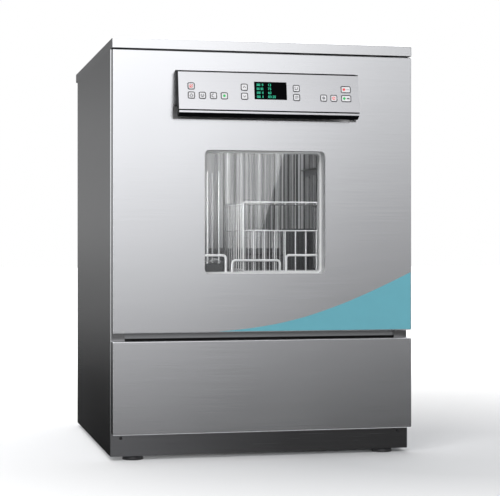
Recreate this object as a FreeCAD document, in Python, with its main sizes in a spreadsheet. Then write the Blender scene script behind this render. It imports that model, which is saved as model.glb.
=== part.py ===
import FreeCAD, Part

import math
import os
from types import SimpleNamespace

import Sketcher

# Laboratory glassware washer with a drop-down glazed door, built in millimetres.
# X runs to the right, Y runs backwards, Z runs up. The origin lies on the floor under the middle of the machine.
# Depths are counted backwards from the front face of the door, heights upwards from the floor.

doc = FreeCAD.newDocument("glassware_washer")
sheet = doc.addObject("Spreadsheet::Sheet", "dims")

SIZES = [
    # Cabinet
    ("overall_height", "995", "floor to the top of the worktop"),
    ("body_width", "735", "width of the worktop and of the cabinet"),
    ("top_depth", "780", "worktop from front to back"),
    ("top_thickness", "24", "height of the worktop edge"),
    ("top_edge_radius", "2.5", "rounding of the worktop edge"),
    ("rear_overhang", "38", "worktop behind the cabinet"),
    ("sheet_wall", "1.5", "thickness of the folded sheet parts"),
    ("foot_height", "10", "floor to the underside of the cabinet"),
    ("side_set_back", "37.5", "side panels behind the door face"),
    ("side_flange", "34", "front return of a side panel"),
    ("rear_flange", "16", "rear return of a side panel"),
    ("side_bend", "4", "outside radius of the side panel bends"),
    ("channel_width", "40", "width of a base frame channel"),
    ("channel_height", "30", "height of a base frame channel"),
    ("channel_wall", "2.5", "thickness of the base frame channels"),
    ("front_member_depth", "200", "front cross channel behind the door face"),
    ("rear_member_depth", "440", "rear cross channel behind the door face"),
    ("frame_set_back", "43", "front frame behind the door face"),
    ("frame_edge", "20", "depth of the front frame edge"),
    ("service_bottom", "64", "lower edge of the service panel"),
    ("service_gap", "19", "gap between service panel and door"),
    ("service_margin", "36", "front frame border beside the service opening"),
    ("louvre_width", "90", "length of a rear louvre"),
    ("louvre_pitch", "14", "spacing of the rear louvres"),
    ("louvre_height", "5", "height of a rear louvre"),
    # Feet and panel screws
    ("foot_radius", "25", "radius of a levelling foot"),
    ("foot_inset", "57", "foot centre from the side of the cabinet"),
    ("foot_depth", "62", "front foot centre behind the door face"),
    ("stud_radius", "5", "threaded stud of a foot"),
    ("stud_top", "39.5", "top of the foot stud"),
    ("screw_head_radius", "3.8", "head of a panel screw"),
    ("screw_shank_radius", "2", "shank of a panel screw"),
    ("screw_length", "6.5", "shank length of a panel screw"),
    ("screw_inset", "24.5", "plinth screw from the side of the cabinet"),
    ("screw_level", "53", "height of the plinth screws"),
    ("rear_screw_inset", "10.5", "rear panel screw from the side of the cabinet"),
    ("rear_screw_end", "30", "rear panel screw from the end of the panel"),
    ("rear_panel_inset", "5", "rear panel inside the side of the cabinet"),
    ("rear_panel_drop", "6", "rear panel below the worktop"),
    # Door
    ("door_side_gap", "1", "door edge inside the side of the cabinet"),
    ("door_bottom", "302", "lower edge of the door"),
    ("door_top_gap", "4", "gap between door and worktop"),
    ("door_edge", "26", "depth of the outer door skin"),
    ("door_front_radius", "2", "rounding of the door front edges"),
    ("door_back", "38", "back face of the inner door panel"),
    ("plug_depth", "58", "face of the plug that enters the chamber"),
    ("plug_inset", "18", "plug inside the chamber mouth"),
    ("plug_radius", "18", "corner radius of the plug"),
    ("panel_side_inset", "36.5", "raised inner panel inside the door edge"),
    ("panel_end_inset", "10", "raised inner panel below the door top"),
    ("panel_foot_inset", "23", "raised inner panel above the door foot"),
    ("window_half_width", "148", "half the width of the window"),
    ("window_rise", "139", "lower edge of the window above the door foot"),
    ("window_drop", "232", "upper edge of the window below the door top"),
    ("window_radius", "12", "corner radius of the window"),
    ("bezel_flange", "14", "rear flange of the window frame"),
    ("glass_thickness", "4", "thickness of a pane"),
    ("outer_pane_depth", "40", "outer pane behind the door face"),
    ("inner_pane_depth", "53", "inner pane behind the door face"),
    ("pane_gap", "1", "pane edge to window frame"),
    ("seal_lip", "1.5", "seal in front of and behind a pane"),
    ("seal_width", "4", "width of a pane seal"),
    # Hinge
    ("hinge_depth", "20", "hinge axis behind the door face"),
    ("hinge_rise", "10", "hinge axis above the door foot"),
    ("hinge_inset", "53.5", "hinge arm from the side of the door"),
    ("arm_thickness", "6", "thickness of a hinge arm"),
    ("arm_eye_radius", "7", "radius of a hinge arm eye"),
    ("pin_radius", "4", "radius of a hinge pin"),
    ("pin_clearance", "0.05", "hinge pin clearance"),
    ("ear_thickness", "4.5", "thickness of a hinge ear"),
    ("ear_gap", "2.5", "ear to hinge arm"),
    ("leaf_thickness", "3", "thickness of the hinge plates"),
    # Control fascia
    ("fascia_width", "437", "width of the control fascia"),
    ("fascia_drop", "45", "top of the fascia below the door top"),
    ("fascia_nose", "7.8", "top of the sloping face below the fascia top"),
    ("fascia_top_reach", "37", "top of the face in front of the door"),
    ("fascia_reach", "53", "foot of the face in front of the door"),
    ("fascia_face_length", "97.3", "length of the sloping face"),
    ("fascia_plate_length", "89.6", "length of the faceplate"),
    ("fascia_plate_thickness", "3", "thickness of the faceplate"),
    ("fascia_groove", "3.3", "gap between faceplate and trim"),
    ("fascia_wall", "3", "wall of the fascia housing"),
    ("lip_depth", "27", "finger gap behind the fascia lip"),
    ("fascia_height", "112", "fascia from its top to its underside"),
    ("lip_toe_reach", "37", "rear edge of the sloping underside"),
    ("finger_height", "26", "height of the finger gap"),
    ("recess_half_width", "225", "half the width of the grip recess"),
    ("recess_sill", "3.5", "foot of the grip recess below the fascia"),
    ("recess_height", "38.5", "height of the grip recess"),
    ("recess_depth", "40", "depth of the grip recess"),
    ("recess_radius", "16", "upper corners of the grip recess"),
    ("key_size", "17", "side of a key"),
    ("wide_key_length", "25", "length of a wide key"),
    ("key_radius", "4", "corner radius of a key"),
    ("key_clearance", "0.3", "gap round a key"),
    ("key_proud", "0.8", "key in front of the faceplate"),
    ("key_depth", "2.7", "thickness of a key"),
    ("upper_row", "34.3", "upper key row below the face top"),
    ("lower_row", "56.3", "lower key row below the face top"),
    ("display_left", "-38", "left edge of the display"),
    ("display_right", "41", "right edge of the display"),
    ("display_upper", "20", "display below the face top"),
    ("display_lower", "63", "display foot below the face top"),
    # Chamber
    ("chamber_side_room", "99.5", "chamber wall inside the side of the cabinet"),
    ("chamber_bottom", "352", "chamber floor"),
    ("chamber_head_room", "56", "chamber ceiling below the worktop"),
    ("chamber_back", "640", "rear wall of the chamber"),
    ("chamber_radius", "22", "corner radius of the chamber"),
    ("chamber_flange", "15", "front flange of the chamber"),
    ("gasket_width", "14", "width of the door gasket"),
    ("gasket_gap", "0.3", "gasket in front of the closed door panel"),
    ("gasket_inset", "2", "gasket outside the chamber mouth"),
    ("rail_rise", "78", "lower rack rails above the chamber floor"),
    ("upper_rail_drop", "193", "upper rack rails below the chamber ceiling"),
    ("rail_width", "14", "width of a rack rail"),
    ("rail_height", "18", "height of a rack rail"),
    ("rail_front", "60", "front end of a rail"),
    # Water system
    ("arm_centre_depth", "345", "spray arm axis behind the door face"),
    ("arm_wall_gap", "53", "spray arm tip to the chamber wall"),
    ("arm_height", "12", "height of a spray arm tube"),
    ("hub_radius", "24", "radius of a spray arm hub"),
    ("hub_height", "18", "height of a spray arm hub"),
    ("pipe_radius", "12", "feed pipe"),
    ("pipe_bend", "36", "bend radius of the feed pipe"),
    ("running_gap", "0.3", "clearance round turning and sliding parts"),
    ("lower_arm_rise", "32", "lower spray arm above the chamber floor"),
    ("upper_arm_drop", "53", "upper spray arm below the chamber ceiling"),
    ("riser_gap", "52", "riser pipe behind the chamber"),
    ("feed_drop", "40", "feed pipe below the chamber floor"),
    ("head_rise", "39", "feed pipe above the chamber ceiling"),
    ("dock_length", "38", "length of the docking cup"),
    ("sump_depth", "210", "sump centre behind the door face"),
    ("sump_radius", "85", "mouth of the sump"),
    ("sump_fall", "62", "sump floor below the chamber floor"),
    ("suction_level", "130", "height of the pump axis"),
    ("suction_radius", "18", "suction pipe"),
    ("pump_front", "330", "front of the circulation pump"),
    ("pump_radius", "56", "motor of the circulation pump"),
    ("volute_radius", "72", "volute of the circulation pump"),
    ("pump_length", "182", "length of the circulation pump"),
    ("drain_pump_side", "150", "drain pump left of the middle"),
    ("drain_pump_radius", "32", "radius of the drain pump"),
    ("drain_level", "100", "height of the drain pipe"),
    ("spigot_radius", "11", "drain hose spigot"),
    ("spigot_length", "27", "length of the drain hose spigot"),
    ("heater_radius", "4.5", "radius of the heating tube"),
    ("heater_rise", "16", "heating loop above the chamber floor"),
    ("heater_side_gap", "53", "heating loop to the chamber wall"),
    ("heater_rear_gap", "30", "heating loop to the rear wall"),
    ("heater_front_gap", "60", "heating loop behind the rail ends"),
    ("heater_tail_side", "40", "heating tube ends from the middle"),
    ("heater_tail_length", "22", "heating tube ends below the chamber floor"),
    # Connections and electrics
    ("thread_radius", "13.2", "threaded water inlet"),
    ("thread_length", "20", "length of a threaded inlet"),
    ("inlet_level", "160", "height of the water inlets"),
    ("inlet_left", "120", "first water inlet right of the middle"),
    ("inlet_pitch", "60", "spacing of the water inlets"),
    ("gland_side", "260", "cable gland left of the middle"),
    ("gland_bore", "7", "bore of the cable gland"),
    ("control_width", "132", "width of the control box"),
    ("control_length", "128", "depth of the control box behind its lid"),
    ("control_height", "180", "height of the control box"),
    ("control_set_off", "54", "control box before the rear panel"),
    ("control_lid", "10", "thickness of the control box lid"),
    ("dosing_inset", "231.5", "dosing bracket from the side of the cabinet"),
    ("dosing_pitch", "76", "spacing of the dosing pumps"),
    ("dosing_motor_side", "56", "side of a dosing motor"),
    ("dosing_axis_rise", "100", "dosing pump axis above the base frame"),
    ("bolt_radius", "5", "lock bolt"),
    ("bolt_drop", "22", "lock bolt below the worktop"),
    # Rack
    ("rack_front", "100", "front of the rack behind the door face"),
    ("rack_back", "596", "rear of the rack behind the door face"),
    ("rack_side_gap", "18", "rack to the chamber wall"),
    ("rack_floor_rise", "10", "rack floor wires above the rails"),
    ("rack_rim_rise", "44.5", "rack rim above the rack floor"),
    ("rack_step", "76", "inner end of the raised front rim"),
    ("handle_half_width", "60", "half the width of the rack handle"),
    ("handle_rise", "32", "rack handle above the rack floor"),
    ("rim_wire", "3", "radius of the rim wire"),
    ("floor_wire", "2", "radius of the floor wire"),
    ("mesh_wire", "1.4", "radius of the basket wire"),
    ("basket_left", "-31", "left side of the basket"),
    ("basket_pitch", "26.5", "spacing of the basket wires"),
    ("basket_cells", "9", "wire spacings across the basket"),
    ("basket_rows", "8", "wire spacings along the basket"),
    ("basket_front", "106", "front of the basket"),
    ("basket_rim_rise", "175", "basket rim above the rack floor"),
    ("basket_belt_rise", "105", "basket belt above the rack floor"),
    ("duct_width", "40", "width of a rack injector duct"),
    ("duct_height", "22", "height of the injector ducts"),
    ("duct_side", "104", "first injector duct left of the middle"),
    ("duct_pitch", "92", "spacing of the injector ducts"),
    ("injector_radius", "4", "radius of an injector"),
    ("injector_rise", "250", "injector tips above the rack floor"),
    ("injector_spread", "28", "injector pair spacing"),
    ("injector_pitch", "80", "injector row spacing"),
    ("injector_rows", "6", "injector rows"),
]

for row, (alias, value, note) in enumerate(SIZES, start=1):
    sheet.set("A" + str(row), note)
    sheet.set("B" + str(row), value)
    sheet.setAlias("B" + str(row), alias)
doc.recompute()


class Size:
    """A length that carries its number and the sheet formula behind it."""

    def __init__(self, formula, number):
        self.formula = formula
        self.number = number

    def __add__(self, other):
        other = as_size(other)
        return Size("(" + self.formula + " + " + other.formula + ")", self.number + other.number)

    def __sub__(self, other):
        other = as_size(other)
        return Size("(" + self.formula + " - " + other.formula + ")", self.number - other.number)

    def __mul__(self, other):
        other = as_size(other)
        return Size("(" + self.formula + " * " + other.formula + ")", self.number * other.number)

    def __truediv__(self, other):
        other = as_size(other)
        return Size("(" + self.formula + " / " + other.formula + ")", self.number / other.number)

    def __neg__(self):
        return Size("(0 - " + self.formula + ")", -self.number)

    def __radd__(self, other):
        return as_size(other) + self

    def __rsub__(self, other):
        return as_size(other) - self

    def __rmul__(self, other):
        return as_size(other) * self

    def root(self):
        return Size("sqrt(" + self.formula + ")", math.sqrt(self.number))


def as_size(value):
    if isinstance(value, Size):
        return value
    return Size("(" + format(float(value), ".6f") + ")", float(value))


dim = SimpleNamespace(**{alias: Size("dims." + alias, float(sheet.get(alias))) for alias, value, note in SIZES})


# Derived places

FRONT_Y = (dim.fascia_reach - dim.top_depth) / 2
HALF_WIDTH = dim.body_width / 2
HALF_DOOR = HALF_WIDTH - dim.door_side_gap
WALL = dim.sheet_wall
CABINET_TOP = dim.overall_height - dim.top_thickness
CABINET_BACK = dim.top_depth - dim.rear_overhang
DOOR_TOP = CABINET_TOP - dim.door_top_gap
HINGE_Z = dim.door_bottom + dim.hinge_rise
SERVICE_TOP = dim.door_bottom - dim.service_gap
WINDOW_BOTTOM = dim.door_bottom + dim.window_rise
WINDOW_TOP = DOOR_TOP - dim.window_drop
FASCIA_TOP = DOOR_TOP - dim.fascia_drop
FACE_TOP = FASCIA_TOP - dim.fascia_nose
LIP_BOTTOM = FASCIA_TOP - dim.fascia_height
GRIP_ARCH = LIP_BOTTOM + dim.finger_height
RECESS_BOTTOM = LIP_BOTTOM - dim.recess_sill
RECESS_TOP = RECESS_BOTTOM + dim.recess_height
BOLT_LEVEL = CABINET_TOP - dim.bolt_drop
CHAMBER_HALF = HALF_WIDTH - dim.chamber_side_room
CHAMBER_TOP = CABINET_TOP - dim.chamber_head_room
RAIL_LEVEL = dim.chamber_bottom + dim.rail_rise
UPPER_RAIL = CHAMBER_TOP - dim.upper_rail_drop
ARM_REACH = CHAMBER_HALF - dim.arm_wall_gap
LOWER_ARM = dim.chamber_bottom + dim.lower_arm_rise
UPPER_ARM = CHAMBER_TOP - dim.upper_arm_drop
RISER_DEPTH = dim.chamber_back + dim.riser_gap
FEED_LEVEL = dim.chamber_bottom - dim.feed_drop
HEAD_LEVEL = CHAMBER_TOP + dim.head_rise
SUMP_FLOOR = dim.chamber_bottom - dim.sump_fall
HEATER_LEVEL = dim.chamber_bottom + dim.heater_rise
HEATER_HALF = CHAMBER_HALF - dim.heater_side_gap
RACK_HALF = CHAMBER_HALF - dim.rack_side_gap
RACK_FLOOR = RAIL_LEVEL + dim.rack_floor_rise
RACK_RIM = RACK_FLOOR + dim.rack_rim_rise
HANDLE_TOP = RACK_FLOOR + dim.handle_rise
BASKET_RIM = RACK_FLOOR + dim.basket_rim_rise
BASKET_BELT = RACK_FLOOR + dim.basket_belt_rise
INJECTOR_TOP = RACK_FLOOR + dim.injector_rise
DOCK_LEVEL = RACK_FLOOR + dim.floor_wire + dim.duct_height / 2
BASE_TOP = dim.foot_height + dim.channel_height
BASE_FRONT = dim.side_set_back + WALL
FRAME_BACK = dim.frame_set_back + WALL
TILT_SINE = (dim.fascia_reach - dim.fascia_top_reach) / dim.fascia_face_length
TILT_COSINE = (1 - TILT_SINE * TILT_SINE).root()


def deep(depth):
    """Y of a point at a depth behind the door face."""
    return FRONT_Y + depth


# Building blocks

def bind(thing, prop, value):
    value = as_size(value)
    thing.setExpression(prop, value.formula)


def place(thing, x, y, z, axis=(0, 0, 1), angle=0):
    """Puts a thing at bound coordinates with a fixed turn."""
    x, y, z = as_size(x), as_size(y), as_size(z)
    turn = FreeCAD.Rotation(FreeCAD.Vector(*axis), angle)
    thing.Placement = FreeCAD.Placement(FreeCAD.Vector(x.number, y.number, z.number), turn)
    bind(thing, "Placement.Base.x", x)
    bind(thing, "Placement.Base.y", y)
    bind(thing, "Placement.Base.z", z)
    return thing


def box(name, x0, x1, y0, y1, z0, z1):
    """Plain box between bound corner coordinates."""
    thing = doc.addObject("Part::Box", name)
    bind(thing, "Length", as_size(x1) - x0)
    bind(thing, "Width", as_size(y1) - y0)
    bind(thing, "Height", as_size(z1) - z0)
    return place(thing, x0, y0, z0)


TURNS = {"+x": ((0, 1, 0), 90), "-x": ((0, 1, 0), -90), "+y": ((1, 0, 0), -90), "-y": ((1, 0, 0), 90),
         "+z": ((0, 0, 1), 0), "-z": ((1, 0, 0), 180)}


def cylinder(name, radius, length, x, y, z, way="+z"):
    thing = doc.addObject("Part::Cylinder", name)
    bind(thing, "Radius", radius)
    bind(thing, "Height", length)
    return place(thing, x, y, z, *TURNS[way])


def wire(name, radius, length, x, y, z, way="+z", sides=6):
    """Straight wire drawn as a prism."""
    thing = doc.addObject("Part::Prism", name)
    thing.Polygon = sides
    bind(thing, "Circumradius", radius)
    bind(thing, "Height", length)
    return place(thing, x, y, z, *TURNS[way])


PLANES = {"x": ("YZ_Plane", 1, False), "y": ("XZ_Plane", -1, True), "z": ("XY_Plane", 1, False)}


def start_sketch(name, axis, offset):
    """New body with an empty sketch square to an axis at a bound offset."""
    role, sign, backwards = PLANES[axis]
    body = doc.addObject("PartDesign::Body", name)
    sketch = body.newObject("Sketcher::SketchObject", name + "_sketch")
    support = [item for item in body.Origin.OriginFeatures if item.Role == role][0]
    sketch.AttachmentSupport = (support, [""])
    sketch.MapMode = "FlatFace"
    bind(sketch, "AttachmentOffset.Base.z", as_size(offset) * sign)
    return body, sketch


def fix(sketch, kind, *args):
    """Adds a constraint whose last argument is a bound size."""
    value = as_size(args[-1])
    index = sketch.addConstraint(Sketcher.Constraint(kind, *args[:-1], value.number))
    sketch.setExpression("Constraints[" + str(index) + "]", value.formula)


def draw_outline(sketch, points):
    """Closed outline of straight lines through bound points."""
    points = [(as_size(u), as_size(v)) for u, v in points]
    corners = [FreeCAD.Vector(u.number, v.number, 0) for u, v in points]
    count = len(points)
    lines = [sketch.addGeometry(Part.LineSegment(corners[i], corners[(i + 1) % count])) for i in range(count)]
    for i in range(count):
        sketch.addConstraint(Sketcher.Constraint("Coincident", lines[i], 2, lines[(i + 1) % count], 1))
        fix(sketch, "DistanceX", -1, 1, lines[i], 1, points[i][0])
        fix(sketch, "DistanceY", -1, 1, lines[i], 1, points[i][1])


def draw_rounded(sketch, u0, u1, v0, v1, radius):
    """Rectangle with four rounded corners between bound edges."""
    u0, u1, v0, v1, radius = (as_size(value) for value in (u0, u1, v0, v1, radius))
    a, b, c, d, r = u0.number, u1.number, v0.number, v1.number, radius.number
    vector = FreeCAD.Vector
    ends = [((a + r, c), (b - r, c)), ((b, c + r), (b, d - r)), ((b - r, d), (a + r, d)), ((a, d - r), (a, c + r))]
    centres = [(b - r, c + r), (b - r, d - r), (a + r, d - r), (a + r, c + r)]
    lines = [sketch.addGeometry(Part.LineSegment(vector(*p, 0), vector(*q, 0))) for p, q in ends]
    arcs = []
    for i, (u, v) in enumerate(centres):
        circle = Part.Circle(vector(u, v, 0), vector(0, 0, 1), r)
        arcs.append(sketch.addGeometry(Part.ArcOfCircle(circle, (i - 1) * math.pi / 2, i * math.pi / 2)))
    for i in range(4):
        sketch.addConstraint(Sketcher.Constraint("Tangent", lines[i], 2, arcs[i], 1))
        sketch.addConstraint(Sketcher.Constraint("Tangent", arcs[i], 2, lines[(i + 1) % 4], 1))
        sketch.addConstraint(Sketcher.Constraint("Vertical" if i % 2 else "Horizontal", lines[i]))
    for i in range(1, 4):
        sketch.addConstraint(Sketcher.Constraint("Equal", arcs[0], arcs[i]))
    fix(sketch, "Radius", arcs[0], radius)
    fix(sketch, "DistanceX", -1, 1, lines[3], 1, u0)
    fix(sketch, "DistanceX", -1, 1, lines[1], 1, u1)
    fix(sketch, "DistanceY", -1, 1, lines[0], 1, v0)
    fix(sketch, "DistanceY", -1, 1, lines[2], 1, v1)


def pad(body, sketch, axis, length):
    feature = body.newObject("PartDesign::Pad", sketch.Name + "_pad")
    feature.Profile = sketch
    feature.Reversed = PLANES[axis][2]
    bind(feature, "Length", length)
    return body


def slab(name, axis, u0, u1, v0, v1, w0, w1, radius):
    """Rounded rectangle padded along an axis from w0 to w1."""
    body, sketch = start_sketch(name, axis, w0)
    draw_rounded(sketch, u0, u1, v0, v1, radius)
    return pad(body, sketch, axis, as_size(w1) - w0)


def profile(name, axis, points, w0, w1):
    """Straight-sided outline padded along an axis from w0 to w1."""
    body, sketch = start_sketch(name, axis, w0)
    draw_outline(sketch, points)
    return pad(body, sketch, axis, as_size(w1) - w0)


def turned(name, points, x, y, z, way="+z"):
    """Outline of radii and heights turned round its own axis."""
    body, sketch = start_sketch(name, "y", 0)
    draw_outline(sketch, points)
    feature = body.newObject("PartDesign::Revolution", name + "_turn")
    feature.Profile = sketch
    feature.ReferenceAxis = (sketch, ["V_Axis"])
    feature.Angle = 360
    return place(body, x, y, z, *TURNS[way])


def round_edges(body, radius, chosen):
    """Rounds the edges of a body that a test picks out."""
    doc.recompute()
    tip = body.Tip
    names = ["Edge" + str(i + 1) for i, edge in enumerate(tip.Shape.Edges) if chosen(edge)]
    feature = body.newObject("PartDesign::Fillet", body.Name + "_rounding")
    feature.Base = (tip, names)
    bind(feature, "Radius", radius)
    return body


def at_level(edge, axis, level):
    """True for an edge that lies whole in the plane of a level."""
    places = [vertex.Point[axis] for vertex in edge.Vertexes] + [edge.CenterOfMass[axis]]
    return all(abs(value - level) < 0.001 for value in places)


def upright_at(edge, x, y):
    """True for an upright edge that stands at a point."""
    spots = [vertex.Point for vertex in edge.Vertexes]
    return len(spots) == 2 and all(abs(p.x - x) < 0.001 and abs(p.y - y) < 0.001 for p in spots)


def join(name, pieces):
    thing = doc.addObject("Part::MultiFuse", name)
    thing.Shapes = pieces
    return thing


def group(name, pieces):
    thing = doc.addObject("Part::Compound", name)
    thing.Links = pieces
    return thing


def cut(name, base, tools):
    thing = doc.addObject("Part::Cut", name)
    thing.Base = base
    thing.Tool = tools[0] if len(tools) == 1 else join(name + "_tools", tools)
    return thing


nodes = {}


def keep(node, thing):
    """Registers a finished sub-part under its own name."""
    thing.Label = node
    nodes[node] = thing


# Base frame: a ring of pressed channels, open below, with two cross channels

def make_base_frame():
    x1 = HALF_WIDTH - WALL
    y0, y1 = deep(BASE_FRONT), deep(CABINET_BACK - WALL)
    z0, z1 = dim.foot_height, BASE_TOP
    width, wall = dim.channel_width, dim.channel_wall
    ring = cut("base_ring", slab("base_outer", "z", -x1, x1, y0, y1, z0, z1, dim.side_bend - WALL + 0.5),
               [box("base_inner", width - x1, x1 - width, y0 + width, y1 - width, z0, z1)])
    members = [box("member_" + str(i), width - x1, x1 - width, deep(d), deep(d) + width, z0, z1)
               for i, d in enumerate((dim.front_member_depth, dim.rear_member_depth))]
    blank = join("base_blank", [ring] + members)
    top = z1 - wall
    hollows = [
        box("hollow_left", wall - x1, width - wall - x1, y0 + wall, y1 - wall, z0, top),
        box("hollow_right", x1 - width + wall, x1 - wall, y0 + wall, y1 - wall, z0, top),
        box("hollow_front", wall - x1, x1 - wall, y0 + wall, y0 + width - wall, z0, top),
        box("hollow_rear", wall - x1, x1 - wall, y1 - width + wall, y1 - wall, z0, top),
    ]
    for i, d in enumerate((dim.front_member_depth, dim.rear_member_depth)):
        hollows.append(box("hollow_member_" + str(i), wall - x1, x1 - wall, deep(d) + wall, deep(d) + width - wall,
                           z0, top))
    holes = [cylinder("foot_hole_" + str(i), dim.stud_radius + dim.running_gap, dim.channel_height, x, y, z0)
             for i, (x, y) in enumerate(foot_centres())]
    keep("base_frame", cut("base_frame", blank, hollows + holes))


def foot_centres():
    x = HALF_WIDTH - dim.foot_inset
    front, rear = deep(dim.foot_depth), deep(CABINET_BACK + BASE_FRONT - WALL - dim.foot_depth)
    return [(-x, front), (x, front), (-x, rear), (x, rear)]


def make_levelling_feet():
    """Turned feet, each with its stud and the lock nut under the channel."""
    pad_r, stud, height = dim.foot_radius, dim.stud_radius, dim.foot_height
    nut_height = 7.5
    nut_bottom = BASE_TOP - dim.channel_wall - nut_height
    outline = [(0, 0), (pad_r, 0), (pad_r, height * 0.4), (pad_r - 3, height), (stud, height), (stud, dim.stud_top),
               (0, dim.stud_top)]
    feet = []
    for x, y in foot_centres():
        foot = turned("foot", outline, x, y, 0)
        nut = wire("foot_nut", stud * 1.8, nut_height, x, y, nut_bottom)
        feet.append(join("foot_with_nut", [foot, nut]))
    keep("levelling_feet", group("levelling_feet", feet))


# Cabinet shell

def make_side_panel(node, side):
    """Folded side sheet with a front and a rear return, bent at four corners."""
    out, front, rear = HALF_WIDTH, deep(dim.side_set_back), deep(CABINET_BACK)
    inner = out - WALL
    outline = [(out, front), (out, rear), (out - dim.rear_flange, rear), (out - dim.rear_flange, rear - WALL),
               (inner, rear - WALL), (inner, front + WALL), (out - dim.side_flange, front + WALL),
               (out - dim.side_flange, front)]
    outline = [(side * x, y) for x, y in outline]
    panel = profile(node + "_fold", "z", outline, dim.foot_height, CABINET_TOP)
    for x, y, radius in ((out, front, dim.side_bend), (out, rear, dim.side_bend),
                         (inner, front + WALL, dim.side_bend - WALL), (inner, rear - WALL, dim.side_bend - WALL)):
        spot_x, spot_y = side * x.number, y.number
        round_edges(panel, radius, lambda edge: upright_at(edge, spot_x, spot_y))
    fit = dim.screw_shank_radius + dim.running_gap
    holes = [cylinder(node + "_hole", fit, WALL * 4, side * (HALF_WIDTH - dim.screw_inset), front - WALL,
                      dim.screw_level, "+y")]
    holes += [cylinder(node + "_rear_hole", fit, WALL * 4, side * (HALF_WIDTH - dim.rear_screw_inset), rear - WALL * 2,
                       level, "+y") for level in rear_screw_levels()]
    keep(node, cut(node, panel, holes))


def rear_screw_levels():
    low = BASE_TOP + dim.rear_screw_end
    high = CABINET_TOP - dim.rear_panel_drop - dim.rear_screw_end
    return [low + (high - low) * (i / 3) for i in range(4)]


def make_rear_panel():
    """Flat rear sheet with louvres and the holes for the connections."""
    x1 = HALF_WIDTH - dim.rear_panel_inset
    y0 = deep(CABINET_BACK)
    blank = box("rear_blank", -x1, x1, y0, y0 + WALL, BASE_TOP, CABINET_TOP - dim.rear_panel_drop)
    slots = []
    for column in (-1, 0, 1):
        x0 = column * (dim.louvre_width + 60) - dim.louvre_width / 2
        for i in range(6):
            z0 = CABINET_TOP - 120 + i * dim.louvre_pitch
            slots.append(box("louvre", x0, x0 + dim.louvre_width, y0, y0 + WALL, z0, z0 + dim.louvre_height))
    holes = [cylinder("inlet_hole", dim.thread_radius - 2 + dim.running_gap, WALL, x, y0, dim.inlet_level, "+y")
             for x in inlet_places()]
    holes.append(cylinder("drain_hole", dim.spigot_radius + dim.running_gap, WALL, -dim.drain_pump_side, y0,
                          dim.drain_level, "+y"))
    holes.append(cylinder("gland_hole", dim.gland_bore + 3 + dim.running_gap, WALL, -dim.gland_side, y0,
                          dim.inlet_level, "+y"))
    for side in (-1, 1):
        x = side * (HALF_WIDTH - dim.rear_screw_inset)
        for level in rear_screw_levels():
            holes.append(cylinder("screw_hole", dim.screw_shank_radius + dim.running_gap, WALL, x, y0, level, "+y"))
    keep("rear_panel", cut("rear_panel", blank, slots + holes))


def make_countertop():
    """Worktop tray folded from sheet, open below, with rounded upper edges."""
    top = slab("top_skin", "z", -HALF_WIDTH, HALF_WIDTH, deep(0), deep(dim.top_depth), CABINET_TOP,
               dim.overall_height, dim.top_edge_radius + 0.5)
    level = dim.overall_height.number
    round_edges(top, dim.top_edge_radius, lambda edge: at_level(edge, 2, level))
    hollow = box("top_hollow", WALL - HALF_WIDTH, HALF_WIDTH - WALL, deep(WALL), deep(dim.top_depth - WALL),
                 CABINET_TOP, dim.overall_height - WALL)
    keep("countertop", cut("countertop", top, [hollow]))


def make_front_frame():
    """Pressed front frame with the chamber mouth and the service opening."""
    x1, y0 = HALF_WIDTH - WALL, deep(dim.frame_set_back)
    blank = box("frame_blank", -x1, x1, y0, y0 + dim.frame_edge, BASE_TOP, CABINET_TOP)
    hollow = box("frame_hollow", WALL - x1, x1 - WALL, y0 + WALL, y0 + dim.frame_edge, BASE_TOP + WALL,
                 CABINET_TOP - WALL)
    half = CHAMBER_HALF
    mouth = slab("frame_mouth", "y", -half, half, dim.chamber_bottom, CHAMBER_TOP, y0, y0 + WALL,
                 dim.chamber_radius)
    side = HALF_DOOR - dim.service_margin
    service = slab("frame_service", "y", -side, side, dim.service_bottom + 16, SERVICE_TOP - 21, y0,
                   y0 + WALL, 10)
    bolt = cylinder("frame_bolt_hole", dim.bolt_radius + 0.5, WALL, 0, y0, BOLT_LEVEL, "+y")
    keep("front_frame", cut("front_frame", blank, [hollow, mouth, service, bolt]))


def make_plinth():
    """Plinth sheet in front of the feet, with its screw holes."""
    y0, y1 = deep(dim.side_set_back - WALL), deep(dim.side_set_back)
    blank = box("plinth_blank", -HALF_WIDTH, HALF_WIDTH, y0, y1, dim.foot_height, dim.service_bottom)
    holes = [cylinder("plinth_hole", dim.screw_shank_radius + dim.running_gap, WALL,
                      side * (HALF_WIDTH - dim.screw_inset), y0, dim.screw_level, "+y") for side in (-1, 1)]
    keep("plinth_panel", cut("plinth_panel", blank, holes))


def make_panel_screws():
    """The same pan-head screw at the plinth and along both edges of the rear panel."""
    head, shank, length = dim.screw_head_radius, dim.screw_shank_radius, dim.screw_length
    outline = [(0, 0), (shank, 0), (shank, length), (head, length), (head - 1.5, length + 2.2), (0, length + 2.2)]
    screws = []
    for side in (-1, 1):
        front_y = deep(dim.side_set_back - WALL) + length
        screws.append(turned("plinth_screw", outline, side * (HALF_WIDTH - dim.screw_inset), front_y,
                             dim.screw_level, "-y"))
        rear_y = deep(CABINET_BACK + WALL) - length
        for level in rear_screw_levels():
            screws.append(turned("rear_screw", outline, side * (HALF_WIDTH - dim.rear_screw_inset), rear_y, level,
                                 "+y"))
    keep("panel_screws", group("panel_screws", screws))


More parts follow.
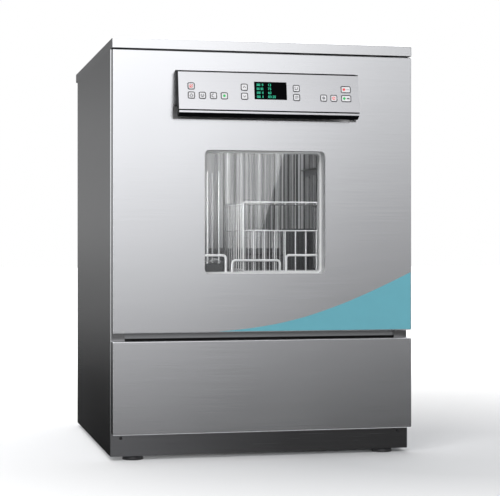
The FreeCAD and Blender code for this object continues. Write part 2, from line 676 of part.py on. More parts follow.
def make_service_panel():
    """Folded tray that closes the pump compartment."""
    y0, y1 = deep(0), deep(dim.side_set_back)
    tray = slab("service_skin", "y", -HALF_DOOR, HALF_DOOR, dim.service_bottom, SERVICE_TOP, y0, y1,
                dim.door_front_radius + 0.5)
    level = y0.number
    round_edges(tray, dim.door_front_radius, lambda edge: at_level(edge, 1, level))
    hollow = box("service_hollow", WALL - HALF_DOOR, HALF_DOOR - WALL, y0 + WALL, y1, dim.service_bottom + WALL,
                 SERVICE_TOP - WALL)
    keep("service_panel", cut("service_panel", tray, [hollow]))


# Wash chamber

def make_wash_chamber():
    """Open-fronted tub with a front flange, a sump mouth and pipe holes."""
    half, z0, z1 = CHAMBER_HALF, dim.chamber_bottom, CHAMBER_TOP
    y0, y1 = deep(FRAME_BACK), deep(dim.chamber_back)
    radius, flange = dim.chamber_radius, dim.chamber_flange
    tub = slab("tub_outer", "y", -half - WALL, half + WALL, z0 - WALL, z1 + WALL, y0, y1 + WALL, radius + WALL)
    rim = slab("tub_flange", "y", -half - flange, half + flange, z0 - flange, z1 + flange, y0, y0 + WALL,
               radius + flange)
    hollow = slab("tub_hollow", "y", -half, half, z0, z1, y0, y1, radius)
    axis_y = deep(dim.arm_centre_depth)
    pipe_hole = dim.pipe_radius + dim.running_gap
    tools = [
        hollow,
        cylinder("sump_hole", dim.sump_radius, WALL * 2, 0, deep(dim.sump_depth), z0 - WALL * 1.5),
        cylinder("lower_feed_hole", pipe_hole, WALL * 2, 0, axis_y, z0 - WALL * 1.5),
        cylinder("upper_feed_hole", pipe_hole, WALL * 2, 0, axis_y, z1 - WALL * 0.5),
        cylinder("dock_hole", pipe_hole, WALL * 2, 0, y1 - WALL * 0.5, DOCK_LEVEL, "+y"),
    ]
    for side in (-1, 1):
        x, y = side * dim.heater_tail_side, deep(dim.chamber_back - dim.heater_rear_gap)
        tools.append(cylinder("heater_hole", dim.heater_radius + dim.running_gap, WALL * 2, x, y, z0 - WALL * 1.5))
    keep("wash_chamber", cut("wash_chamber", join("tub_blank", [tub, rim]), tools))


def ring(name, half, z0, z1, y0, y1, radius, inset, width):
    """Rectangular ring that lies outside a mouth by an inset."""
    outer = slab(name + "_outer", "y", -half - inset - width, half + inset + width, z0 - inset - width,
                 z1 + inset + width, y0, y1, radius + inset + width)
    inner = slab(name + "_inner", "y", -half - inset, half + inset, z0 - inset, z1 + inset, y0, y1, radius + inset)
    return cut(name, outer, [inner])


def make_door_gasket():
    """Rubber ring on the front frame with a narrower bulb towards the door."""
    half, z0, z1 = CHAMBER_HALF, dim.chamber_bottom, CHAMBER_TOP
    back, front = deep(dim.frame_set_back), deep(dim.door_back + dim.gasket_gap)
    foot = back - 2
    width = dim.gasket_width
    strip = ring("gasket_strip", half, z0, z1, foot, back, dim.chamber_radius, dim.gasket_inset, width)
    bulb = ring("gasket_bulb", half, z0, z1, front, foot, dim.chamber_radius, dim.gasket_inset + width / 4, width / 2)
    keep("door_gasket", join("door_gasket", [strip, bulb]))


def make_rack_rails():
    """Angle rails on the side walls at two levels."""
    rails = []
    for level in (RAIL_LEVEL, UPPER_RAIL):
        for side in (-1, 1):
            wall_x = CHAMBER_HALF
            outline = [(wall_x, level), (wall_x - dim.rail_width, level), (wall_x - dim.rail_width, level - WALL),
                       (wall_x - WALL, level - WALL), (wall_x - WALL, level - dim.rail_height),
                       (wall_x, level - dim.rail_height)]
            outline = [(side * x, z) for x, z in outline]
            rails.append(profile("rail", "y", outline, deep(dim.rail_front), deep(dim.chamber_back - 10)))
    keep("rack_rails", group("rack_rails", rails))


# Water system

def bent_tube(points, bend, radius, sides=0):
    """Round or faceted tube along straight runs joined by tangent arcs."""
    spots = [FreeCAD.Vector(*point) for point in points]
    edges = []
    start = spots[0]
    for before, corner, after in zip(spots, spots[1:], spots[2:]):
        inward, outward = (before - corner).normalize(), (after - corner).normalize()
        half_turn = inward.getAngle(outward) / 2
        reach = bend / math.tan(half_turn)
        first, last = corner + inward * reach, corner + outward * reach
        middle = corner + (inward + outward).normalize() * (bend / math.sin(half_turn) - bend)
        edges += [Part.makeLine(start, first), Part.Arc(first, middle, last).toShape()]
        start = last
    edges.append(Part.makeLine(start, spots[-1]))
    path = Part.Wire(edges)
    way = (spots[1] - spots[0]).normalize()
    if sides:
        side_way = way.cross(FreeCAD.Vector(0.3, 0.5, 0.8)).normalize()
        turns = [FreeCAD.Rotation(way, 360 * i / sides) for i in range(sides + 1)]
        section = Part.makePolygon([spots[0] + turn.multVec(side_way * radius) for turn in turns])
    else:
        section = Part.Wire(Part.makeCircle(radius, spots[0], way))
    return path.makePipeShell([section], True, False)


def feature(name, shape):
    thing = doc.addObject("Part::Feature", name)
    thing.Shape = shape
    return thing


def make_wash_manifold():
    """Feed pipe from the pump to both spray arms, with the docking cup for the rack."""
    middle, rear = deep(dim.arm_centre_depth).number, deep(RISER_DEPTH).number
    low, high, bend = FEED_LEVEL.number, HEAD_LEVEL.number, dim.pipe_bend.number
    lower_start, upper_start = FEED_LEVEL + dim.pipe_bend + 1, HEAD_LEVEL - dim.pipe_bend - 1
    lower_end = LOWER_ARM + dim.hub_height + 0.5
    upper_end = UPPER_ARM - 0.5
    route = [(0, middle, lower_start.number), (0, middle, low), (0, rear, low), (0, rear, high), (0, middle, high),
             (0, middle, upper_start.number)]
    pieces = [feature("feed_pipe", bent_tube(route, bend, dim.pipe_radius.number, 8))]
    x, y = 0, deep(dim.arm_centre_depth)
    pieces.append(cylinder("lower_stub", dim.pipe_radius, lower_end - lower_start, x, y, lower_start))
    pieces.append(cylinder("upper_stub", dim.pipe_radius, upper_start - upper_end, x, y, upper_end))
    collar_height = 6
    for z0, z1 in ((lower_end, lower_end + collar_height), (LOWER_ARM - 4.5, LOWER_ARM - 0.5),
                   (upper_end - collar_height, upper_end),
                   (UPPER_ARM + dim.hub_height + 0.5, UPPER_ARM + dim.hub_height + 4.5)):
        pieces.append(cylinder("collar", dim.pipe_radius + 6, z1 - z0, x, y, z0))
    pump_y = deep(dim.pump_front + 70)
    neck_top = dim.suction_level + dim.volute_radius + 12
    pieces.append(cylinder("pump_pipe", dim.pipe_radius - 2, FEED_LEVEL - neck_top, 0, pump_y, neck_top))
    dock_front = deep(dim.chamber_back - dim.dock_length)
    pieces.append(cylinder("dock_pipe", dim.pipe_radius - 2, deep(RISER_DEPTH) - deep(dim.chamber_back) + 12, 0,
                           deep(dim.chamber_back) - 12, DOCK_LEVEL, "+y"))
    pieces.append(cylinder("dock_cup", dim.pipe_radius + 8, dim.dock_length, 0, dock_front, DOCK_LEVEL, "+y"))
    bore = cylinder("dock_bore", dim.pipe_radius + 3, dim.dock_length - 12, 0, dock_front, DOCK_LEVEL, "+y")
    keep("wash_manifold", cut("wash_manifold", join("manifold_blank", pieces), [bore]))


def make_spray_arm(node, level):
    """Hub with two tapered tubes and raised nozzles."""
    y = deep(dim.arm_centre_depth)
    reach, hub, height = ARM_REACH, dim.hub_radius, dim.hub_height
    drop = (height - dim.arm_height) / 2
    tube = profile(node + "_tube", "z",
                   [(-reach, y - 9), (-reach + 6, y - 13), (-hub, y - 17), (hub, y - 17), (reach - 6, y - 13),
                    (reach, y - 9), (reach, y + 9), (reach - 6, y + 13), (hub, y + 17), (-hub, y + 17),
                    (-reach + 6, y + 13), (-reach, y + 9)],
                   level + drop, level + drop + dim.arm_height)
    pieces = [tube, cylinder(node + "_hub", hub, height, 0, y, level)]
    face = level + drop + dim.arm_height if node.startswith("lower") else level + drop - 2
    for side in (-1, 1):
        for i in range(4):
            x = side * (hub + 28 + i * (reach - hub - 50) / 3)
            pieces.append(box(node + "_nozzle", x - 5, x + 5, y - 3, y + 3, face, face + 2))
    bore = cylinder(node + "_bore", dim.pipe_radius + dim.running_gap, height, 0, y, level)
    keep(node, cut(node, join(node + "_blank", pieces), [bore]))


def make_sump():
    """Turned sump bowl with a capped drop pipe and the suction pipe to the pump."""
    mouth, floor, pipe = dim.sump_radius + 0.5, SUMP_FLOOR, dim.suction_radius
    rim_z = dim.chamber_bottom - WALL
    wall = 2.5
    bore = pipe - wall
    level = dim.suction_level
    cap = level - pipe - 8
    bowl = turned("sump_bowl",
                  [(mouth, rim_z), (mouth + 20, rim_z), (mouth + 20, rim_z - wall), (mouth + wall, rim_z - wall),
                   (mouth + wall, floor + 28), (pipe + 24, floor), (pipe, floor), (pipe, cap), (0, cap),
                   (0, cap + wall), (bore, cap + wall), (bore, floor + wall), (pipe + 23, floor + wall),
                   (mouth, floor + 29)],
                  0, deep(dim.sump_depth), 0)
    run = dim.pump_front - dim.sump_depth - pipe + 2
    start = deep(dim.sump_depth) + pipe - 2
    suction = cylinder("suction_pipe", pipe - 2, run, 0, start, level, "+y")
    suction_bore = cylinder("suction_bore", bore - 2, run + 8, 0, start - 8, level, "+y")
    keep("sump", cut("sump", join("sump_blank", [bowl, suction]), [suction_bore]))


def make_sump_filter():
    """Strainer ring with a deep cup, standing on the sump shoulder."""
    rim, top, seat = dim.sump_radius - dim.running_gap, dim.chamber_bottom, SUMP_FLOOR + 29.5
    cup = rim * 0.54
    outline = [(rim, top), (rim, seat), (rim - WALL, seat), (rim - WALL, top - WALL), (cup, top - WALL),
               (cup, seat - 20), (0, seat - 20), (0, seat - 20 + WALL), (cup - WALL, seat - 20 + WALL),
               (cup - WALL, top)]
    keep("sump_filter", turned("sump_filter", outline, 0, deep(dim.sump_depth), 0))


def make_heater():
    """Bent heating tube round the chamber floor, with its two ends through the floor."""
    half, level = HEATER_HALF.number, HEATER_LEVEL.number
    rear = deep(dim.chamber_back - dim.heater_rear_gap).number
    front = deep(dim.rail_front + dim.heater_front_gap).number
    tail, below = dim.heater_tail_side.number, (dim.chamber_bottom - dim.heater_tail_length).number
    route = [(-tail, rear, below), (-tail, rear, level), (-half, rear, level), (-half, front, level),
             (half, front, level), (half, rear, level), (tail, rear, level), (tail, rear, below)]
    tube = feature("heater_tube", bent_tube(route, 14, dim.heater_radius.number, 6))
    collars = [cylinder("heater_collar", dim.heater_radius + 5, 3, side * dim.heater_tail_side,
                        deep(dim.chamber_back - dim.heater_rear_gap), dim.chamber_bottom) for side in (-1, 1)]
    keep("heater_element", join("heater_element", [tube] + collars))


def make_circulation_pump():
    """Motor and volute on a foot that stands on the rear cross channel."""
    motor, volute, level = dim.pump_radius, dim.volute_radius, dim.suction_level
    outline = [(0, 0), (24, 0), (24, 12), (volute, 16), (volute, 96), (motor, 100), (motor, dim.pump_length - 12),
               (motor - 9, dim.pump_length), (0, dim.pump_length)]
    body = turned("pump_body", outline, 0, deep(dim.pump_front), level, "+y")
    neck = cylinder("pump_neck", dim.pipe_radius + 6, volute + 12, 0, deep(dim.pump_front + 70), level)
    foot = box("pump_foot", -40, 40, deep(dim.rear_member_depth), deep(dim.rear_member_depth) + dim.channel_width,
               BASE_TOP, level - motor * 0.6)
    keep("circulation_pump", join("circulation_pump", [body, neck, foot]))


def make_drain_pump():
    """Small pump on the front cross channel, fed from the suction pipe."""
    x, radius, level = -dim.drain_pump_side, dim.drain_pump_radius, dim.drain_level
    outline = [(0, 0), (radius - 4, 0), (radius, 4), (radius, 26), (radius - 6, 30), (radius - 6, 76),
               (radius - 10, 80), (0, 80)]
    body = turned("drain_body", outline, x, deep(dim.front_member_depth - 20), level, "+y")
    foot = box("drain_foot", x - 20, x + 20, deep(dim.front_member_depth),
               deep(dim.front_member_depth) + dim.channel_width, BASE_TOP, level - radius * 0.5)
    feed = cylinder("drain_feed", 9, dim.drain_pump_side - dim.suction_radius - 0.5, x, deep(dim.sump_depth),
                    dim.suction_level - 10, "+x")
    keep("drain_pump", join("drain_pump", [body, foot, feed]))


def make_drain_outlet():
    """Drain pipe to the rear, ending in a hose spigot outside the panel."""
    start = dim.front_member_depth + 60
    panel = CABINET_BACK + WALL
    end = panel + 3.5 + dim.spigot_length
    outer, bore = dim.spigot_radius, dim.spigot_radius - 3
    inner = outer - 1.5
    length = end - start
    flange = panel - start
    outline = [(0, 0), (inner, 0), (inner, flange - 8), (outer, flange - 8), (outer, flange), (outer + 6, flange),
               (outer + 6, flange + 3.5), (outer, flange + 3.5), (outer, length), (bore, length),
               (bore, flange - 20), (0, flange - 20)]
    keep("drain_outlet", turned("drain_outlet", outline, -dim.drain_pump_side, deep(start), dim.drain_level, "+y"))


# Connections and electrics

def inlet_places():
    return [dim.inlet_left, dim.inlet_left + dim.inlet_pitch]


def make_inlet_valves():
    """Solenoid valves behind the rear panel, each with a threaded inlet outside."""
    valves = []
    back, radius = CABINET_BACK, dim.thread_radius
    bore, neck = radius - 4, radius - 2
    flange_end = WALL + 3
    end = flange_end + dim.thread_length
    for x in inlet_places():
        outline = [(0, -30), (radius + 5, -30), (radius + 5, 0), (neck, 0), (neck, WALL), (radius + 4, WALL),
                   (radius + 4, flange_end), (radius, flange_end), (radius, end), (bore, end), (bore, -10), (0, -10)]
        inlet = turned("inlet", outline, x, deep(back), dim.inlet_level, "+y")
        coil = box("coil", x - 17, x + 17, deep(back) - 60, deep(back) - 26, dim.inlet_level - 12,
                   dim.inlet_level + 34)
        valves.append(join("valve", [inlet, coil]))
    keep("inlet_valves", group("inlet_valves", valves))


def make_cable_gland():
    """Bored gland with a hexagon cap outside and a hexagon nut inside the rear panel."""
    x, y, z = -dim.gland_side, deep(CABINET_BACK), dim.inlet_level
    barrel = dim.gland_bore + 3
    start, end = as_size(-9), WALL + 20
    pieces = [cylinder("gland_barrel", barrel, end - start, x, y + start, z, "+y"),
              wire("gland_nut", barrel + 6, 5, x, y - 5, z, "+y"),
              wire("gland_flange", barrel + 7, 5, x, y + WALL, z, "+y"),
              wire("gland_cap", barrel + 4, 10, x, y + WALL + 5, z, "+y")]
    bore = cylinder("gland_bore", dim.gland_bore, end - start, x, y + start, z, "+y")
    keep("cable_gland", cut("cable_gland", join("gland_blank", pieces), [bore]))


def make_control_box():
    """Closed electronics box on the right base channel with a lid rim."""
    x1 = HALF_WIDTH - WALL
    x0, top, rim = x1 - dim.control_width, BASE_TOP + dim.control_height, 2
    y0 = deep(CABINET_BACK - dim.control_set_off - dim.control_length)
    case = slab("control_case", "y", x0, x1 - rim, BASE_TOP, top, y0, y0 + dim.control_length, 6)
    lid = slab("control_lid", "y", x0 - rim, x1, BASE_TOP, top + rim, y0 - dim.control_lid, y0, 7)
    keep("control_box", join("control_box", [case, lid]))


def make_dosing_pumps():
    """Peristaltic pump heads on an upright bracket behind the service opening."""
    y0 = deep(FRAME_BACK + dim.frame_edge)
    left, pitch, motor = HALF_WIDTH - dim.dosing_inset, dim.dosing_pitch, dim.dosing_motor_side
    right, axis, plate = left + pitch * 2 + 10, BASE_TOP + dim.dosing_axis_rise, 2
    bracket = box("dosing_bracket", left, right, y0, y0 + plate, BASE_TOP, axis + 60)
    foot = box("dosing_foot", left, right, y0, y0 + 14, BASE_TOP, BASE_TOP + plate)
    pieces = [bracket, foot]
    for i in range(2):
        x = left + pitch / 2 + 5 + i * pitch
        pieces.append(box("dosing_motor", x - motor / 2, x + motor / 2, y0 + plate, y0 + plate + motor,
                          axis - motor / 2, axis + motor / 2))
        pieces.append(cylinder("dosing_head", motor / 2 - 1, 14, x, y0, axis, "-y"))
        pieces.append(cylinder("dosing_rotor", 9, 18, x, y0, axis, "-y"))
        for side in (-1, 1):
            pieces.append(wire("dosing_nipple", 3.5, 40, x + side * 15, y0 - 7, axis - 40))
    keep("dosing_pumps", join("dosing_pumps", pieces))


def make_door_lock():
    """Lock motor housing behind the frame header, bored for its bolt."""
    y0 = deep(FRAME_BACK)
    z = BOLT_LEVEL
    case = slab("lock_case", "y", -36, 36, z - 15, z + 15, y0, y0 + 66, 4)
    bore = cylinder("lock_bore", dim.bolt_radius + dim.running_gap, 56, 0, y0, z, "+y")
    keep("door_lock", cut("door_lock", case, [bore]))
    keep("lock_bolt", turned("lock_bolt",
                             [(0, 0), (dim.bolt_radius - 1, 0), (dim.bolt_radius, 1), (dim.bolt_radius, 54), (0, 54)],
                             0, deep(dim.door_back + 3.5), z, "+y"))


# Door

def make_door_skin():
    """Outer door tray with the window, the grip recess and the hinge slots cut out."""
    y0, y1 = deep(0), deep(dim.door_edge)
    tray = slab("skin_tray", "y", -HALF_DOOR, HALF_DOOR, dim.door_bottom, DOOR_TOP, y0, y1,
                dim.door_front_radius + 0.5)
    level = y0.number
    round_edges(tray, dim.door_front_radius, lambda edge: at_level(edge, 1, level))
    hollow = box("skin_hollow", WALL - HALF_DOOR, HALF_DOOR - WALL, y0 + WALL, y1, dim.door_bottom + WALL,
                 DOOR_TOP - WALL)
    half = dim.window_half_width
    window = slab("skin_window", "y", -half, half, WINDOW_BOTTOM, WINDOW_TOP, y0, y0 + WALL,
                  dim.window_radius)
    tools = [hollow, window] + recess_shape("skin_recess", 0, y0, y0 + WALL)
    for x0, x1 in hinge_gaps():
        tools.append(box("skin_slot", x0, x1, deep(dim.hinge_depth - dim.arm_eye_radius - 1), y1, dim.door_bottom,
                         dim.door_bottom + WALL))
    keep("door_skin", cut("door_skin", tray, tools))


def recess_shape(name, grow, y0, y1):
    """Grip recess outline: rounded upper corners on a square foot."""
    half = dim.recess_half_width + grow
    z0, z1 = RECESS_BOTTOM - grow, RECESS_TOP + grow
    upper = slab(name + "_upper", "y", -half, half, z0, z1, y0, y1, dim.recess_radius + grow)
    lower = box(name + "_lower", -half, half, y0, y1, z0, z0 + dim.recess_radius + grow)
    return [upper, lower]


def make_grip_recess():
    """Pressed cup behind the finger gap, with a flange on the back of the skin."""
    y0, y1 = deep(WALL), deep(dim.recess_depth)
    outer = recess_shape("cup_outer", WALL, y0, y1 + WALL)
    flange = recess_shape("cup_flange", 9, y0, y0 + WALL)
    keep("grip_recess", cut("grip_recess", join("cup_blank", outer + flange), recess_shape("cup_inner", 0, y0, y1)))


def make_door_inner_panel():
    """Pressed inner panel: edge flange, raised sealing face and the plug round the window."""
    y0 = deep(dim.door_edge - WALL)
    side = HALF_DOOR - dim.panel_side_inset
    z0, z1 = dim.door_bottom + dim.panel_foot_inset, DOOR_TOP - dim.panel_end_inset
    half = CHAMBER_HALF - dim.plug_inset
    p0, p1 = dim.chamber_bottom + 16, CHAMBER_TOP - 15
    flange = box("inner_flange", WALL - HALF_DOOR, HALF_DOOR - WALL, y0, y0 + WALL, dim.door_bottom + WALL,
                 DOOR_TOP - WALL)
    raised = slab("inner_raised", "y", -side, side, z0, z1, y0, deep(dim.door_back), 8)
    plug = slab("inner_plug", "y", -half, half, p0, p1, y0, deep(dim.plug_depth), dim.plug_radius)
    window = dim.window_half_width + WALL
    tools = [
        slab("raised_hollow", "y", WALL - side, side - WALL, z0 + WALL, z1 - WALL, y0, deep(dim.door_back - WALL),
             8 - WALL),
        slab("plug_hollow", "y", WALL - half, half - WALL, p0 + WALL, p1 - WALL, y0, deep(dim.plug_depth - WALL),
             dim.plug_radius - WALL),
        slab("inner_window", "y", -window, window, WINDOW_BOTTOM - WALL, WINDOW_TOP + WALL, y0,
             deep(dim.plug_depth), dim.window_radius + WALL),
        cylinder("strike_hole", dim.bolt_radius + 3, WALL * 2, 0, deep(dim.door_back - WALL * 1.5), BOLT_LEVEL,
                 "+y"),
    ]
    for side_sign in (-1, 1):
        x0, x1 = hinge_span(side_sign, dim.leaf_thickness * 3 + dim.ear_thickness)
        tools.append(box("hinge_notch", x0, x1, y0 - 1, y0 + WALL + 1, dim.door_bottom, z0))
    keep("door_inner_panel", cut("door_inner_panel", join("inner_blank", [flange, raised, plug]), tools))


def make_window():
    """Deep window frame, two panes and their seals."""
    half, z0, z1, radius = dim.window_half_width, WINDOW_BOTTOM, WINDOW_TOP, dim.window_radius
    front, back = deep(WALL), deep(dim.plug_depth + WALL)
    sleeve = slab("sleeve_outer", "y", -half - WALL, half + WALL, z0 - WALL, z1 + WALL, front, back, radius + WALL)
    lap = dim.bezel_flange
    flange = slab("sleeve_flange", "y", -half - lap, half + lap, z0 - lap, z1 + lap, back - WALL, back, radius + lap)
    bore = slab("sleeve_bore", "y", -half, half, z0, z1, front, back, radius)
    keep("window_frame", cut("window_frame", join("sleeve_blank", [sleeve, flange]), [bore]))
    seals = []
    for name, depth in (("outer", dim.outer_pane_depth), ("inner", dim.inner_pane_depth)):
        y0, y1 = deep(depth), deep(depth + dim.glass_thickness)
        gap, lip, width = dim.pane_gap, dim.seal_lip, dim.seal_width
        keep(name + "_glass", slab(name + "_glass", "y", gap - half, half - gap, z0 + gap, z1 - gap, y0, y1,
                                   radius - gap))
        seal = slab(name + "_seal", "y", -half, half, z0, z1, y0 - lip, y1 + lip, radius)
        light = slab(name + "_light", "y", width - half, half - width, z0 + width, z1 - width, y0 - lip, y1 + lip,
                     radius - width)
        seat = slab(name + "_seat", "y", gap - half, half - gap, z0 + gap, z1 - gap, y0, y1, radius - gap)
        seals.append(cut(name + "_seal_ring", seal, [light, seat]))
    keep("glass_seals", group("glass_seals", seals))


# Hinge

def hinge_span(side, grow):
    """X range round a hinge arm, widened on both sides."""
    middle = side * (HALF_DOOR - dim.hinge_inset)
    half = dim.arm_thickness / 2 + grow
    return middle - half, middle + half


def hinge_gaps():
    return [hinge_span(side, dim.ear_gap + 1.5) for side in (-1, 1)]


def make_hinge_brackets():
    """Arms that stand forward from the front frame, each with its pin."""
    brackets = []
    face = dim.frame_set_back
    plate = face - dim.leaf_thickness
    y, z, eye = deep(dim.hinge_depth), HINGE_Z, dim.arm_eye_radius
    for side in (-1, 1):
        x0, x1 = hinge_span(side, 0)
        base0, base1 = hinge_span(side, dim.leaf_thickness * 3 + dim.ear_thickness)
        pin0, pin1 = hinge_span(side, dim.ear_gap + dim.ear_thickness + 1)
        arm = box("hinge_arm", x0, x1, y, deep(plate), z - eye, z + eye)
        boss = cylinder("hinge_eye", eye, x1 - x0, x0, y, z, "+x")
        base = box("hinge_base", base0, base1, deep(plate), deep(face), dim.door_bottom + 1, z + eye * 3)
        pin = cylinder("hinge_pin", dim.pin_radius, pin1 - pin0, pin0, y, z, "+x")
        brackets.append(join("hinge_bracket", [arm, boss, base, pin]))
    keep("hinge_brackets", group("hinge_brackets", brackets))


def make_hinge_leaves():
    """Plates on the back of the door skin, each with two ears for the pin."""
    leaves = []
    foot = dim.door_bottom + WALL + 0.5
    y0, axis_y, z = WALL, dim.hinge_depth, HINGE_Z
    plate = y0 + dim.leaf_thickness
    for side in (-1, 1):
        base0, base1 = hinge_span(side, dim.leaf_thickness * 3 + dim.ear_thickness)
        pieces = [box("leaf_base", base0, base1, deep(y0), deep(plate), foot, z + 32)]
        for way in (-1, 1):
            middle = (base0 + base1) / 2
            near = middle + way * (dim.arm_thickness / 2 + dim.ear_gap)
            far = near + way * dim.ear_thickness
            low, high = (near, far) if way > 0 else (far, near)
            outline = [(deep(plate), foot), (deep(axis_y + 4), foot), (deep(axis_y + 9), z - 4),
                       (deep(axis_y + 9), z + 4), (deep(axis_y + 2), z + 18), (deep(plate), z + 31)]
            pieces.append(profile("leaf_ear", "x", outline, low, high))
        hole = cylinder("leaf_hole", dim.pin_radius + dim.pin_clearance, base1 - base0, base0, deep(axis_y), z, "+x")
        leaves.append(cut("hinge_leaf", join("leaf_blank", pieces), [hole]))
    keep("hinge_leaves", group("hinge_leaves", leaves))


def make_lock_strike():
    z, y1 = BOLT_LEVEL, deep(dim.door_back - WALL)
    top = DOOR_TOP - dim.panel_end_inset - WALL
    plate = box("strike_plate", -20, 20, y1 - 3.5, y1, z - 12, top)
    hole = cylinder("strike_bore", dim.bolt_radius + 0.6, 3.5, 0, y1 - 3.5, z, "+y")
    keep("lock_strike", cut("lock_strike", plate, [hole]))


# Control fascia. Its sloping face has a frame of its own: x to the right, y into the face, z up the slope.

def lean(thing):
    """Puts a thing drawn in the frame of the sloping face on the door."""
    angle = math.degrees(math.asin(TILT_SINE.number))
    place(thing, 0, deep(-dim.fascia_top_reach), FACE_TOP, (-1, 0, 0), angle)
    thing.setExpression("Placement.Rotation.Angle", "asin(" + TILT_SINE.formula + ")")
    return thing


def face_point(run, sink):
    """Y and Z of a point a run down the slope and a depth below its surface."""
    proud = dim.fascia_top_reach + run * TILT_SINE - sink * TILT_COSINE
    return deep(-proud), FACE_TOP - run * TILT_COSINE - sink * TILT_SINE


def make_fascia_housing():
    """Moulded housing with a sloping face, a finger lip and a hollow back."""
    half = dim.fascia_width / 2
    thick, wall = dim.fascia_plate_thickness, dim.fascia_wall
    plate_end = dim.fascia_plate_length
    groove_end = plate_end + dim.fascia_groove
    lip = deep(-dim.lip_depth)
    outline = [
        (deep(0), FASCIA_TOP), face_point(as_size(-2), as_size(0)), face_point(as_size(0), as_size(0)),
        face_point(as_size(0), thick), face_point(plate_end, thick), face_point(plate_end, as_size(0.8)),
        face_point(groove_end, as_size(0.8)), face_point(groove_end, thick),
        face_point(dim.fascia_face_length, thick), (deep(-dim.lip_toe_reach), LIP_BOTTOM),
        (lip, LIP_BOTTOM), (lip, GRIP_ARCH - 10), (lip + 4, GRIP_ARCH - 4),
        (lip + 11, GRIP_ARCH), (deep(0), GRIP_ARCH),
    ]
    body = profile("housing_body", "x", outline, -half, half)
    hollow = [
        (deep(0), FASCIA_TOP - wall), face_point(wall, thick + wall),
        face_point(plate_end - wall * 2, thick + wall), (lip + 4, GRIP_ARCH + wall),
        (deep(0), GRIP_ARCH + wall),
    ]
    core = profile("housing_core", "x", hollow, wall - half, half - wall)
    keep("fascia_housing", cut("fascia_housing", body, [core]))


KEYS = [
    # name, column right of the middle, row, wide
    ("home_key", -189, "upper", False),
    ("program_key_1", -189, "lower", False),
    ("program_key_2", -162.8, "lower", False),
    ("program_key_3", -136.6, "lower", False),
    ("program_key_4", -110.6, "lower", False),
    ("up_key", -62, "upper", False),
    ("down_key", -62, "lower", False),
    ("back_key", 64.3, "upper", False),
    ("enter_key", 64.3, "lower", False),
    ("door_key", 130.7, "lower", False),
    ("alarm_key", 155.8, "lower", False),
    ("stop_key", 186.3, "upper", True),
    ("start_key", 186.3, "lower", True),
]


def key_block(name, column, row, wide, grow, front, back):
    """Rounded key outline in the frame of the sloping face."""
    half_width = (dim.wide_key_length if wide else dim.key_size) / 2 + grow
    half_height = dim.key_size / 2 + grow
    level = -(dim.upper_row if row == "upper" else dim.lower_row)
    return slab(name, "y", column - half_width, column + half_width, level - half_height, level + half_height,
                front, back, dim.key_radius + grow)


def make_fascia_face():
    """Faceplate, trim strip, display window and keys on the sloping face."""
    half, thick = dim.fascia_width / 2, dim.fascia_plate_thickness
    plate = box("plate_blank", -half, half, 0, thick, -dim.fascia_plate_length, 0)
    gap = dim.key_clearance
    holes = [key_block(name + "_hole", column, row, wide, gap, as_size(0), thick)
             for name, column, row, wide in KEYS]
    display = (dim.display_left, dim.display_right, -dim.display_lower, -dim.display_upper)
    holes.append(box("display_hole", display[0], display[1], 0, thick, display[2], display[3]))
    keep("fascia_plate", lean(cut("fascia_plate", plate, holes)))
    shrink = 0.1
    keep("display_window", lean(slab("display_window", "y", display[0] + shrink, display[1] - shrink,
                                     display[2] + shrink, display[3] - shrink, 0.3, thick, 1.5)))
    strip = slab("fascia_trim", "y", -half, half, -dim.fascia_face_length,
                 -dim.fascia_plate_length - dim.fascia_groove, 0, thick, 0.6)
    keep("fascia_trim", lean(strip))
    for name, column, row, wide in KEYS:
        keep(name, lean(key_block(name, column, row, wide, as_size(0), -dim.key_proud,
                                  dim.key_depth - dim.key_proud)))


# Rack

def make_rack_frame():
    """Wire frame on two runner bars, with a stepped front rim and a handle, and the deck grid welded into it."""
    half, front, back = RACK_HALF, deep(dim.rack_front), deep(dim.rack_back)
    floor, rim = RACK_FLOOR, RACK_RIM
    thick, thin = dim.rim_wire, dim.floor_wire
    depth = back - front
    parts = []
    for side in (-1, 1):
        x = side * half
        inner, outer = side * (half + 4), side * (half + 12)
        low, high = (inner, outer) if side > 0 else (outer, inner)
        parts.append(box("runner", low, high, front + 14, back - 6, RAIL_LEVEL + dim.running_gap,
                         RAIL_LEVEL + dim.running_gap + 8))
        for i in range(3):
            y = front + 20 + i * (depth - 40) / 2
            start = x if side > 0 else x - 8
            parts.append(box("runner_lug", start, start + 8, y - 5, y + 5, floor - 4, floor))
        parts.append(wire("side_floor_wire", thick, depth, x, front, floor, "+y"))
        parts.append(wire("side_rim_wire", thick, depth, x, front, rim, "+y"))
        for i in range(5):
            parts.append(wire("side_post", thin, rim - floor, x, front + i * depth / 4, floor))
        step = side * dim.rack_step
        parts.append(wire("front_rim", thick, half - dim.rack_step, step, front, rim, "+x" if side > 0 else "-x"))
        parts.append(wire("front_step", thick, rim - floor, step, front, floor))
        grip = side * dim.handle_half_width
        parts.append(wire("handle_post", thick, HANDLE_TOP - floor, grip, front, floor))
    parts.append(wire("handle_bar", thick, dim.handle_half_width * 2, -dim.handle_half_width, front,
                      HANDLE_TOP, "+x"))
    parts.append(wire("rear_rim", thick, half * 2, -half, back, rim, "+x"))
    for y in (front, back):
        parts.append(wire("cross_floor_wire", thick, half * 2, -half, y, floor, "+x"))
    keep("rack_frame", join("rack_frame", parts))
    flat = thick * 0.87
    grid = []
    for i in range(1, 10):
        grid.append(wire("deck_long", thin, depth - flat * 2, -half + i * half / 5, front + flat, floor, "+y"))
    for i in range(1, 6):
        grid.append(wire("deck_cross", thin, (half - thick) * 2, thick - half, front + i * depth / 6, floor, "+x"))
    keep("rack_deck", join("rack_deck", grid))


